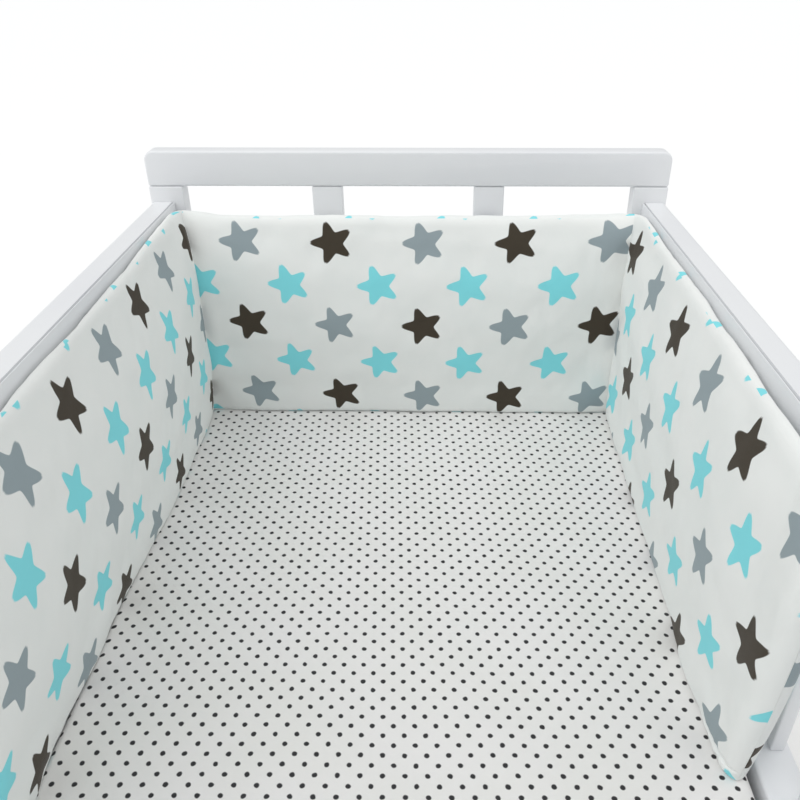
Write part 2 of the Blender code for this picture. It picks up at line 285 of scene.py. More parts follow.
def stray(tree: Tree, ways: tuple[Socket, Socket], place: Socket, most: float, size: float) -> list[Socket]:
    """Moves two coordinates about a little, so that printed outlines come out uneven, as cut by hand.

    Args:
        tree: The material's tree.
        ways: The two coordinates.
        place: The point on the cloth as a vector.
        most: How far they move.
        size: How wide the uneven places are.

    Returns:
        The moved coordinates.
    """
    sums = Sums(tree)
    noise = add_node(tree, NOISE, {"Scale": 1 / size, "Detail": 0.0}, {"Vector": place}).outputs["Color"]
    parts = add_node(tree, "ShaderNodeSeparateColor", links={0: noise}).outputs
    moves = [sums.do("MULTIPLY_ADD", parts[i], 2 * most, -most) for i in range(2)]
    return [sums.do("ADD", way, move) for way, move in zip(ways, moves)]


@dataclass(frozen=True)
class StarCotton:
    """Bleached cotton printed with rows of soft five-pointed stars.

    Pigment print: the ink has the cloth's own matt face and a slightly soft edge. Grey and charcoal take
    turns in one row, the next row is turquoise and stands half a step along.
    """

    ground: str = "#eaecea"
    ground_thin: str = "#e7eae8"  # where the cloth is a little thinner
    turquoise: str = "#83dbe3"
    grey: str = "#93a0a5"
    charcoal: str = "#423b31"
    clouds: float = 12.0  # thin places to the metre
    repeat: float = 0.123  # between stars of a row
    row: float = 0.0595  # between rows
    reach: float = 0.0425  # from a star's middle to its points, before they are rounded off
    waist: float = 0.0150  # and to the notches between them, before they are filled out
    point_round: float = 0.0042
    notch_round: float = 0.0022
    fullness: float = 0.45  # how far the sides of its arms swell
    wobble: float = 0.0016  # how far the hand-cut outline strays
    wobble_size: float = 0.030
    edge: float = 0.0004
    cotton: Cotton = Cotton()

    def stars(self, tree: Tree, along: Socket, up: Socket, first: tuple[float, float]) -> Sockets:
        """One family of stars on a rectangular lattice.

        Args:
            tree: The material's tree.
            along: Distance along the cloth.
            up: Distance up the cloth.
            first: Where the family's first star is along the cloth and up it.

        Returns:
            How much ink there is, and the lattice's column and row numbers.
        """
        sums = Sums(tree)
        tall = 2 * self.row
        column = sums.do("MULTIPLY_ADD", along, 1 / self.repeat, 0.5 - first[0] / self.repeat)
        line = sums.do("MULTIPLY_ADD", up, 1 / tall, 0.5 - first[1] / tall)
        x = sums.do("MULTIPLY_ADD", sums.do("FRACT", column), self.repeat, -self.repeat / 2)
        y = sums.do("MULTIPLY_ADD", sums.do("FRACT", line), tall, -tall / 2)
        far = sums.do("SQRT", sums.do("MULTIPLY_ADD", x, x, sums.do("MULTIPLY", y, y)))
        angle = sums.do("ARCTAN2", y, x)
        fifth = math.pi / 5
        turned = sums.do("PINGPONG", sums.do("SUBTRACT", angle, fifth), fifth)
        # Distances from the line through a point and from the line through the next notch.
        off_point = sums.do("MULTIPLY", far, sums.do("SINE", turned))
        off_notch = sums.do("MULTIPLY", far, sums.do("SINE", sums.do("SUBTRACT", fifth, turned)))
        round_point = sums.do("SQRT", sums.do("MULTIPLY_ADD", off_point, off_point, self.point_round**2))
        round_notch = sums.do("SQRT", sums.do("MULTIPLY_ADD", off_notch, off_notch, self.notch_round**2))
        point_lean = self.reach - self.waist * math.cos(fifth)
        notch_lean = self.reach * math.cos(fifth) - self.waist
        total = sums.do("MULTIPLY", off_point, self.reach - point_lean)
        total = sums.do("MULTIPLY_ADD", off_notch, self.waist + notch_lean, total)
        total = sums.do("MULTIPLY_ADD", round_point, point_lean, total)
        total = sums.do("MULTIPLY_ADD", round_notch, -notch_lean, total)
        total = sums.do("MULTIPLY_ADD", sums.do("MULTIPLY", off_point, off_notch), -self.fullness, total)
        slope = math.hypot(self.reach * math.sin(fifth), notch_lean)
        outline = self.reach * self.waist * math.sin(fifth) / slope
        outside = sums.do("MULTIPLY_ADD", total, 1 / slope, -outline)
        ink = sums.do("SUBTRACT", 1.0, sums.step(outside, -self.edge, self.edge))
        return ink, sums.do("FLOOR", column), sums.do("FLOOR", line)

    def build(self) -> bpy.types.Material:
        """Builds the material.

        Returns:
            The finished material.
        """
        material = new_material("star_printed_cotton")
        tree = material.node_tree
        sums = Sums(tree)
        places = cloth_places(tree)
        along, up = stray(tree, places[:2], places[2], self.wobble, self.wobble_size)
        mixed, column, line = self.stars(tree, along, up, (0.0, 0.0))
        cool = self.stars(tree, along, up, (self.repeat / 2, self.row))[0]
        parity = sums.do("MODULO", sums.do("ADD", column, line), 2.0)
        is_charcoal = sums.do("LESS_THAN", sums.do("ABSOLUTE", parity), 0.5)
        thin = {"Scale": self.clouds, "Detail": 3.0, "Roughness": 0.55}
        clouds = add_node(tree, NOISE, thin, {"Vector": places[2]}).outputs[0]
        ground = sums.mix(sums.step(clouds, 0.30, 0.70), self.ground, self.ground_thin)
        color = sums.mix(mixed, ground, sums.mix(is_charcoal, self.grey, self.charcoal))
        color = sums.mix(cool, color, self.turquoise)
        self.cotton.finish(tree, color, places)
        return material


@dataclass(frozen=True)
class DottedCotton:
    """Bleached cotton sheeting with small charcoal dots in staggered rows, printed a little off square."""

    ground: str = "#e4e3e2"
    ground_thin: str = "#e1e1de"  # where the cloth is a little thinner
    dot: str = "#343436"
    clouds: float = 9.0  # thin places to the metre
    repeat: float = 0.0193  # between dots of a row
    row: float = 0.0097
    radius: float = 0.00235
    edge: float = 0.0005
    slant: float = 0.047  # how far a column leans for each metre along the crib
    wobble: float = 0.0005
    wobble_size: float = 0.004
    cotton: Cotton = Cotton()

    def build(self) -> bpy.types.Material:
        """Builds the material.

        Returns:
            The finished material.
        """
        material = new_material("dotted_cotton")
        tree = material.node_tree
        sums = Sums(tree)
        places = cloth_places(tree)
        across, along, place = places
        leaning = sums.do("MULTIPLY_ADD", along, self.slant, across)
        x, y = stray(tree, (leaning, along), place, self.wobble, self.wobble_size)
        halves = sums.do("MULTIPLY", y, 0.5 / self.row)
        p = sums.do("SUBTRACT", sums.do("FRACT", sums.do("MULTIPLY_ADD", x, 1 / self.repeat, halves)), 0.5)
        q = sums.do("SUBTRACT", sums.do("FRACT", sums.do("MULTIPLY_ADD", x, -1 / self.repeat, halves)), 0.5)
        dx = sums.do("MULTIPLY", sums.do("SUBTRACT", p, q), self.repeat / 2)
        dy = sums.do("MULTIPLY", sums.do("ADD", p, q), self.row)
        far = sums.do("SQRT", sums.do("MULTIPLY_ADD", dx, dx, sums.do("MULTIPLY", dy, dy)))
        ink = sums.step(sums.do("SUBTRACT", self.radius, far), -self.edge, self.edge)
        thin = {"Scale": self.clouds, "Detail": 4.0, "Roughness": 0.6}
        clouds = add_node(tree, NOISE, thin, {"Vector": place}).outputs[0]
        ground = sums.mix(sums.step(clouds, 0.30, 0.70), self.ground, self.ground_thin)
        self.cotton.finish(tree, sums.mix(ink, ground, self.dot), places)
        return material


@dataclass(frozen=True)
class CribPaint:
    """White satin enamel, sprayed on sanded pine: even, with a faint orange peel and soft gloss."""

    color: str = "#e4e6e8"
    thin_color: str = "#e0e2e5"  # where the coat is thinner
    clouds: float = 5.0  # thin places to the metre
    roughness: float = 0.36
    uneven: float = 0.10  # how much the gloss differs over the coat
    ior: float = 1.5
    peel: float = 0.0018  # width of the orange peel
    peel_relief: float = 0.00004
    strength: float = 0.35
    grain: float = 0.004  # width of the timber's grain under the paint
    grain_stretch: tuple[float, float, float] = (1.0, 0.06, 0.25)
    grain_share: float = 1.6  # its height, beside the peel's

    def build(self) -> bpy.types.Material:
        """Builds the material.

        Returns:
            The finished material.
        """
        material = new_material("crib_enamel")
        tree = material.node_tree
        sums = Sums(tree)
        place = add_node(tree, "ShaderNodeTexCoord").outputs["Object"]
        coat = {"Scale": self.clouds, "Detail": 4.0, "Roughness": 0.6}
        cloud = add_node(tree, NOISE, coat, {"Vector": place}).outputs[0]
        color = sums.mix(sums.step(cloud, 0.35, 0.70), self.color, self.thin_color)
        stretch = {"Scale": self.grain_stretch}
        along = add_node(tree, "ShaderNodeMapping", stretch, {"Vector": place}).outputs[0]
        fibres = {"Scale": 1 / self.grain, "Detail": 3.0, "Roughness": 0.6}
        grain = add_node(tree, NOISE, fibres, {"Vector": along}).outputs[0]
        peel = add_node(tree, NOISE, {"Scale": 1 / self.peel, "Detail": 1.0}, {"Vector": place}).outputs[0]
        height = sums.do("MULTIPLY_ADD", grain, self.grain_share, peel)
        relief = {"Strength": self.strength, "Distance": self.peel_relief}
        links = {
            "Base Color": color,
            "Roughness": sums.do("MULTIPLY_ADD", cloud, self.uneven, self.roughness - self.uneven / 2),
            "Normal": add_node(tree, BUMP, relief, {"Height": height}).outputs[0],
        }
        set_node(tree, tree.nodes[SURFACE], {"IOR": self.ior}, links)
        return material


@dataclass(frozen=True)
class SlatTimber:
    """Pine, sawn and sanded and left bare: pale wood with darker late rings running along it."""

    light: str = "#d8bd90"
    dark: str = "#b48a58"
    ring: float = 0.007  # between late rings
    ring_scale: float = 0.16  # the Wave texture's scale for rings a metre apart
    fibre: float = 900.0  # to the metre: bundles of fibres, since single ones are too fine to show
    stretch: tuple[float, float, float] = (0.05, 1.0, 1.0)
    strength: float = 0.4
    relief: float = 0.0002
    roughness: float = 0.62

    def build(self) -> bpy.types.Material:
        """Builds the material.

        Returns:
            The finished material.
        """
        material = new_material("bare_pine")
        tree = material.node_tree
        sums = Sums(tree)
        place = add_node(tree, "ShaderNodeTexCoord").outputs["Object"]
        long = add_node(tree, "ShaderNodeMapping", {"Scale": self.stretch}, {"Vector": place}).outputs[0]
        scale = self.ring_scale / self.ring
        late = {"wave_type": "RINGS", "Scale": scale, "Distortion": 9.0, "Detail": 3.0}
        rings = add_node(tree, "ShaderNodeTexWave", late, {"Vector": long}).outputs["Fac"]
        fibres = add_node(tree, NOISE, {"Scale": self.fibre, "Detail": 2.0}, {"Vector": long}).outputs[0]
        tone = sums.do("MULTIPLY_ADD", fibres, 0.35, sums.do("MULTIPLY", rings, 0.75))
        relief = {"Strength": self.strength, "Distance": self.relief}
        links = {
            "Base Color": sums.mix(sums.step(tone, 0.15, 1.0), self.light, self.dark),
            "Normal": add_node(tree, BUMP, relief, {"Height": tone}).outputs[0],
        }
        set_node(tree, tree.nodes[SURFACE], {"Roughness": self.roughness}, links)
        return material


# ---------------------------------------------------------------------------------------------------
# Timber


def dress(obj: bpy.types.Object, material: bpy.types.Material, node: str) -> None:
    """Gives a finished piece its material and its place in the model.

    Args:
        obj: The piece, at the origin.
        material: Its finish.
        node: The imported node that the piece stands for.
    """
    obj.data.materials.clear()
    obj.data.materials.append(material)
    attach(obj, BODY)
    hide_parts(node)
    LOG.info("%s: %d faces, for %s", obj.name, len(obj.data.polygons), node)


class Workpiece:
    """A length of timber on the bench, shaped in edit mode."""

    def __init__(self, name: str, low: Vector, high: Vector) -> None:
        """Cuts a block between two opposite corners.

        Args:
            name: The piece's name.
            low: Its lowest corner.
            high: Its highest corner.
        """
        bpy.ops.object.select_all(action="DESELECT")
        bpy.ops.mesh.primitive_cube_add(size=1.0, location=(low + high) / 2, scale=high - low)
        self.obj = bpy.context.active_object
        self.obj.name = name
        self.obj.data.name = name
        bpy.ops.object.transform_apply(location=True, rotation=True, scale=True)
        self.low = low

    def take(self) -> None:
        """Selects the piece and nothing else."""
        bpy.ops.object.select_all(action="DESELECT")
        self.obj.select_set(True)
        bpy.context.view_layer.objects.active = self.obj

    def choose(self, kind: str, wanted: Callable[..., bool]) -> None:
        """Selects the edges or points that pass a test, and stays in edit mode.

        Args:
            kind: "EDGE" or "VERT".
            wanted: Takes an edge's two ends, or a point, and says whether it is chosen.
        """
        bpy.ops.object.mode_set(mode="EDIT")
        bpy.ops.mesh.select_mode(type=kind)
        bpy.ops.mesh.select_all(action="DESELECT")
        mesh = bmesh.from_edit_mesh(self.obj.data)
        for part in mesh.edges if kind == "EDGE" else mesh.verts:
            ends = part.verts if kind == "EDGE" else (part,)
            part.select_set(wanted(*(vert.co for vert in ends)))
        bmesh.update_edit_mesh(self.obj.data)

    def ease(self, width: float, steps: int, wanted: Callable[[Vector, Vector], bool]) -> None:
        """Rounds over the chosen edges.

        Args:
            width: The radius.
            steps: Faces across the round.
            wanted: Takes an edge's two ends and says whether it is chosen.
        """
        self.choose("EDGE", wanted)
        bpy.ops.mesh.bevel(offset=width, offset_type="OFFSET", segments=steps, affect="EDGES")
        bpy.ops.object.mode_set(mode="OBJECT")

    def ease_all(self, width: float, steps: int, square: float = 50.0) -> None:
        """Rounds over every edge that is still square.

        Args:
            width: The radius.
            steps: Faces across the round.
            square: The angle in degrees past which an edge counts as square.
        """
        bpy.ops.object.modifier_add(type="BEVEL")
        bevel = self.obj.modifiers[-1]
        bevel.width = width
        bevel.segments = steps
        bevel.limit_method = "ANGLE"
        bevel.angle_limit = math.radians(square)
        bpy.ops.object.modifier_apply(modifier=bevel.name)

    def cut(self, point: Vector, normal: Vector) -> None:
        """Marks a line of new edges round the piece where a plane meets it.

        Args:
            point: A point on the plane.
            normal: The plane's normal.
        """
        bpy.ops.object.mode_set(mode="EDIT")
        bpy.ops.mesh.select_all(action="SELECT")
        bpy.ops.mesh.bisect(plane_co=point, plane_no=normal)
        bpy.ops.object.mode_set(mode="OBJECT")

    def sink(self, depth: float, wanted: Callable[[Vector], bool]) -> None:
        """Lowers the chosen points.

        Args:
            depth: How far.
            wanted: Takes a point and says whether it is chosen.
        """
        self.choose("VERT", wanted)
        bpy.ops.transform.translate(value=(0.0, 0.0, -depth))
        bpy.ops.object.mode_set(mode="OBJECT")

    def copy_to(self, name: str, low: Vector) -> bpy.types.Object:
        """Copies the finished piece to another place.

        Args:
            name: The copy's name.
            low: The copy's lowest corner.

        Returns:
            The copy, with a mesh of its own.
        """
        self.take()
        bpy.ops.object.duplicate(linked=False)
        copy = bpy.context.active_object
        copy.name = name
        copy.data.name = name
        bpy.ops.transform.translate(value=low - self.low)
        bpy.ops.object.transform_apply(location=True, rotation=True, scale=True)
        return copy

    def smooth(self, degrees: float = 35.0) -> bpy.types.Object:
        """Shades the rounds smooth and leaves the flats flat.

        Args:
            degrees: The angle past which an edge stays sharp.

        Returns:
            The finished piece.
        """
        self.take()
        bpy.ops.object.shade_smooth_by_angle(angle=math.radians(degrees))
        return self.obj


@dataclass
class Crib:
    """The crib's timber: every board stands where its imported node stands."""

    paint: bpy.types.Material
    timber: bpy.types.Material
    edge: float = 0.0018
    edge_steps: int = 3
    board_edge: float = 0.003
    alike: float = 0.00005  # boards whose sizes agree to this are worked once
    rail_corner: float = 0.013
    rail_corner_steps: int = 8
    end_rail_edge: float = 0.003
    end_rail_steps: int = 4
    side_rail_edge: float = 0.006
    side_rail_steps: int = 6
    side_rail_inner_edge: float = 0.0008
    side_rail_inner_steps: int = 2
    groove_in: float = 0.0009
    groove_wide: float = 0.0028
    groove_deep: float = 0.0110
    groove_start_right: float = 0.045  # from the head end, where the right rail's groove begins

    def boards(self, nodes: list[str], edge: float, material: bpy.types.Material, slot: str) -> None:
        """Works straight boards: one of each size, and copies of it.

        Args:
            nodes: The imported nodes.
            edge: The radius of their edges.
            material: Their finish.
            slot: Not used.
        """
        worked: dict[tuple[int, ...], Workpiece] = {}
        for node in nodes:
            low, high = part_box(node)
            size = tuple(round(length / self.alike) for length in high - low)
            if size in worked:
                obj = worked[size].copy_to(f"{node}_wood", low)
            else:
                worked[size] = Workpiece(f"{node}_wood", low, high)
                worked[size].ease_all(edge, self.edge_steps)
                obj = worked[size].smooth()
            dress(obj, material, node)

    def end_rail(self, node: str) -> None:
        """Works the rail across two posts, its upper corners rounded in the saw and its edges eased.

        Args:
            node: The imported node.
        """
        low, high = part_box(node)
        piece = Workpiece(f"{node}_wood", low, high)

        def upper_corner(a: Vector, b: Vector) -> bool:
            """Whether an edge goes through the rail's thickness at one of its upper corners."""
            return abs(a.x - b.x) < TIGHT and all(abs(v.z - high.z) < TIGHT for v in (a, b))

        piece.ease(self.rail_corner, self.rail_corner_steps, upper_corner)
        piece.ease_all(self.end_rail_edge, self.end_rail_steps)
        dress(piece.smooth(), self.paint, node)

    def side_rail(self, side: Side) -> None:
        """Works a side's top rail, with the fine groove beside its inner edge.

        Args:
            side: Which side.
        """
        node = f"side_top_rail_{side.word}"
        low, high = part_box(node)
        inner, outer = (low.x, high.x) if side is Side.RIGHT else (high.x, low.x)
        piece = Workpiece(f"{node}_wood", low, high)

        def long_edge(a: Vector, b: Vector, x: float, z: float) -> bool:
            """Whether an edge runs the length of the rail at this place in its section."""
            return all(abs(v.x - x) < TIGHT and abs(v.z - z) < TIGHT for v in (a, b))

        for width, steps, x, z in (
            (self.side_rail_edge, self.side_rail_steps, outer, high.z),
            (self.side_rail_inner_edge, self.side_rail_inner_steps, inner, high.z),
            (self.edge, self.edge_steps, inner, low.z),
            (self.edge, self.edge_steps, outer, low.z),
        ):
            piece.ease(width, steps, lambda a, b, x=x, z=z: long_edge(a, b, x, z))
        centre = inner + side.value * (self.groove_in + self.groove_wide / 2)
        starts = high.y - (self.groove_start_right if side is Side.RIGHT else 0.0)
        for offset in (-self.groove_wide / 2, 0.0, self.groove_wide / 2):
            piece.cut(Vector((centre + offset, 0.0, 0.0)), Vector((1.0, 0.0, 0.0)))
        if side is Side.RIGHT:
            piece.cut(Vector((0.0, starts, 0.0)), Vector((0.0, 1.0, 0.0)))

        def in_groove(v: Vector) -> bool:
            """Whether a point of the rail's top is in the middle of the groove."""
            top = high.z - self.side_rail_inner_edge / 2
            return abs(v.x - centre) < TIGHT and v.z > top and v.y < starts + TIGHT

        piece.sink(self.groove_deep, in_groove)
        dress(piece.smooth(), self.paint, node)

    def build(self, nodes: list[str]) -> None:
        """Works every board of the crib.

        Args:
            nodes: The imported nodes' names.
        """
        base = [node for node in nodes if node.startswith("base_")]
        boards = [node for node in nodes if node.startswith("side_board")]
        rails = [node for node in nodes if node.endswith("_top_rail")]
        side_rails = [f"side_top_rail_{side.word}" for side in Side]
        others = [node for node in nodes if node not in base + boards + rails + side_rails]
        self.boards(base, self.edge, self.timber, "base_timber")
        self.boards(boards, self.board_edge, self.paint, "crib_paint")
        self.boards(others, self.edge, self.paint, "crib_paint")
        for node in rails:
            self.end_rail(node)
        for side in Side:
            self.side_rail(side)


# ---------------------------------------------------------------------------------------------------
# Cloth


def close_rings(values: np.ndarray) -> np.ndarray:
    """Repeats each ring's first point after its last."""
    return np.concatenate([values, values[:, :1]], axis=1)


def quad_corners(places: np.ndarray) -> np.ndarray:
    """Gives each quad between two rings its four places on the cloth.

    Args:
        places: Places on the cloth, as rings by points + 1 by two.

    Returns:
        Places, as cells by points by four by two.
    """
    near = places[:-1]
    far = places[1:]
    return np.stack([near[:, :-1], far[:, :-1], far[:, 1:], near[:, 1:]], axis=-2)


def skin(name: str, rings: np.ndarray, capped: bool = False) -> bpy.types.Object:
    """Skins a row of closed rings with quads.

    Args:
        name: The piece's name.
        rings: Points, as rings by points by three.
        capped: Whether its two ends are closed too, each with one face.

    Returns:
        The new object, at the origin, its points numbered ring by ring.
    """
    count, around = rings.shape[:2]
    index = np.arange(count * around).reshape(count, around)
    after = np.roll(index, -1, axis=1)
    faces = np.stack([index[:-1], index[1:], after[1:], after[:-1]], axis=-1).reshape(-1, 4).tolist()
    if capped:
        faces += index[[0, -1]].tolist()
    mesh = bpy.data.meshes.new(name)
    mesh.from_pydata(rings.reshape(-1, 3).tolist(), [], faces)
    obj = bpy.data.objects.new(name, mesh)
    bpy.context.scene.collection.objects.link(obj)
    return obj


def loft(name: str, rings: np.ndarray, places: np.ndarray) -> bpy.types.Object:
    """Skins a row of closed rings and maps its cloth.

    Args:
        name: The piece's name.
        rings: Points, as rings by points by three.
        places: Each quad's four places on the cloth, as cells by points by four by two.

    Returns:
        The new object, at the origin.
    """
    obj = skin(name, rings)
    layer = obj.data.uv_layers.new(name=CLOTH_MAP)
    layer.uv.foreach_set("vector", places.astype(np.float32).ravel())
    return obj


def turn_out(mesh: bmesh.types.BMesh, obj: bpy.types.Object) -> None:
    """Turns all faces of an edited mesh out and puts it back into its object, shaded smooth.

    Args:
        mesh: The edited mesh, which is freed.
        obj: The object that it goes back into.
    """
    bmesh.ops.recalc_face_normals(mesh, faces=mesh.faces[:])
    mesh.to_mesh(obj.data)
    mesh.free()
    obj.data.shade_smooth()


@dataclass(frozen=True)
class Ripples:
    """Soft, uneven undulation of cloth: a sum of seeded waves in a band of lengths."""

    seed: int
    shortest: float
    longest: float
    height: float
    waves: int = 24

    def at(self, along: np.ndarray, up: np.ndarray) -> np.ndarray:
        """How high the cloth stands at places on it.

        Args:
            along: Distances along the cloth.
            up: Distances up it.

        Returns:
            Heights, most of them within the band's height of zero.
        """
        chance = np.random.default_rng(self.seed)
        total = np.zeros_like(along)
        for _ in range(self.waves):
            length = self.shortest * (self.longest / self.shortest) ** chance.random()
            angle = chance.random() * 2 * math.pi
            phase = chance.random() * 2 * math.pi
            way = (along * math.cos(angle) + up * math.sin(angle)) * 2 * math.pi / length
            total += np.sin(way + phase)
        return total * self.height / math.sqrt(self.waves / 2)


@dataclass(frozen=True)
class Wadding:
    """The filling, let swell in its cover by cloth simulation."""

    pressure: float = 4.0
    frames: int = 20
    quality: int = 6
    mass: float = 0.25  # of the cover
    stretch: float = 40.0  # stiffnesses of the cover
    squeeze: float = 20.0
    shear: float = 15.0
    bend: float = 4.0
    damping: float = 15.0
    air: float = 4.0
    slack: float = 0.0015  # how much smaller the cover starts
    most: float = 0.0045  # no point moves further than this
    free: float = 0.99  # points this free tell how far the cover swells
    every: int = 2  # the simulated cover has one of so many rings and points

    def swell(self, rings: np.ndarray, outward: np.ndarray, held: np.ndarray) -> np.ndarray:
        """Swells the pad and finds how each point of its cover moves.

        Args:
            rings: The pad at rest, as rings by points by three.
            outward: Unit normals, likewise.
            held: How firmly each point is held, from 0 to 1.

        Returns:
            Moves, likewise, about the drawn shape: the even part of the swelling is already in it.
        """
        rows = np.append(np.arange(0, len(rings) - 1, self.every), len(rings) - 1)
        columns = np.arange(0, rings.shape[1], self.every)
        grid = np.ix_(rows, columns)
        loose = 1 - held[grid][:, :, None]
        swollen = self.simulate(rings[grid] - outward[grid] * self.slack * loose, held[grid])
        move = swollen - rings[grid]
        along_normal = (move * outward[grid]).sum(axis=2)
        even = np.median(along_normal[loose[:, :, 0] > self.free])
        LOG.info("wadding: swells the cover by %.1f mm", even * 1000)
        move -= outward[grid] * even * loose
        size = np.linalg.norm(move, axis=2, keepdims=True)
        move *= np.minimum(1.0, self.most / np.maximum(size, 1e-9)) * loose
        return self.refine(move, rows, columns, rings.shape)

    def simulate(self, start: np.ndarray, held: np.ndarray) -> np.ndarray:
        """Runs the cloth under the filling's pressure.

        Args:
            start: The slack cover, as rings by points by three.
            held: How firmly each point is held.

        Returns:
            The cover after the last frame, likewise.
        """
        obj = skin("slack_cover", start, capped=True)
        mesh = bmesh.new()
        mesh.from_mesh(obj.data)
        turn_out(mesh, obj)
        group = obj.vertex_groups.new(name="held")
        for number, weight in enumerate(held.ravel()):
            group.add([number], float(weight), "REPLACE")
        cloth = obj.modifiers.new("cover", "CLOTH")
        values = {
            "quality": self.quality,
            "mass": self.mass,
            "tension_stiffness": self.stretch,
            "compression_stiffness": self.squeeze,
            "shear_stiffness": self.shear,
            "bending_stiffness": self.bend,
            "tension_damping": self.damping,
            "air_damping": self.air,
            "vertex_group_mass": "held",
            "use_pressure": True,
            "uniform_pressure_force": self.pressure,
        }
        for name, value in values.items():
            setattr(cloth.settings, name, value)
        cloth.settings.effector_weights.gravity = 0.0
        cloth.collision_settings.use_collision = False
        for number in range(1, self.frames + 1):
            bpy.context.scene.frame_set(number)
        settled = obj.evaluated_get(bpy.context.evaluated_depsgraph_get()).data
        places = np.empty(len(settled.vertices) * 3, dtype=np.float32)
        settled.vertices.foreach_get("co", places)
        bpy.data.meshes.remove(obj.data)
        bpy.context.scene.frame_set(1)
        return places.astype(float).reshape(start.shape)

    def refine(
        self, move: np.ndarray, rows: np.ndarray, columns: np.ndarray, shape: tuple[int, ...]
    ) -> np.ndarray:
        """Spreads the simulated points' moves over all the cover's points.

        Args:
            move: Moves of the simulated points, as rings by points by three.
            rows: Which rings of the cover they are on.
            columns: Which points of a ring they are.
            shape: The whole cover's count of rings and points, and three.

        Returns:
            Moves of all points, likewise.
        """
        wide = close_rings(move)
        marks = np.append(columns, shape[1])
        by_column = np.empty((len(rows), *shape[1:]))
        full = np.empty(shape)
        for axis in range(3):
            for row in range(len(rows)):
                by_column[row, :, axis] = np.interp(np.arange(shape[1]), marks, wide[row, :, axis])
            for column in range(shape[1]):
                full[:, column, axis] = np.interp(np.arange(shape[0]), rows, by_column[:, column, axis])
        return full


@dataclass(frozen=True)
class Fold:
    """A soft upright trough in a panel's face."""

    along: float  # from the panel's first corner
    height: float  # of its middle
    depth: float
    wide: float
    tall: float
    lean: float  # how far it leans along the panel for each metre up


@dataclass(frozen=True)
class PrintLie:
    """How the printed cloth lies on a panel: the print's own measures as one goes along and up it.

    Each table holds the factors of along to the power of the row times up to the power of the column.
    """

    along: Rows
    up: Rows
    face_top: float = 0.30  # above it the cloth runs on straight

    def place(self, along: np.ndarray, up: np.ndarray) -> np.ndarray:
        """Finds where on the print a place on the panel is.

        Args:
            along: Distances from the panel's first corner.
            up: Distances up the cloth from its foot.

        Returns:
            Places on the print, the last axis along and up it.
        """
        face = np.clip(up, 0.0, self.face_top)
        print_along = np.polynomial.polynomial.polyval2d(along, face, np.array(self.along))
        print_up = np.polynomial.polynomial.polyval2d(along, face, np.array(self.up)) + up - face
        return np.stack([print_along, print_up], axis=-1)


@dataclass(frozen=True)
class Station:
    """The pad's section at one place along a panel."""

    along: float
    foot: float  # depth of the face at the mattress, from the back plane
    face: float  # depth of the face above its foot
    stand_off: float  # between the pad's back and the back plane
    top: float  # height of the ridge

    def toward(self, other: "Station", share: float) -> "Station":
        """Eases this section towards another one.

        Args:
            other: The other section.
            share: How much of the way, from 0 to 1.

        Returns:
            The section in between.
        """
        share = min(max(share, 0.0), 1.0)
        share = share * share * (3 - 2 * share)
        return Station(*(mine + (its - mine) * share for mine, its in zip(astuple(self), astuple(other))))


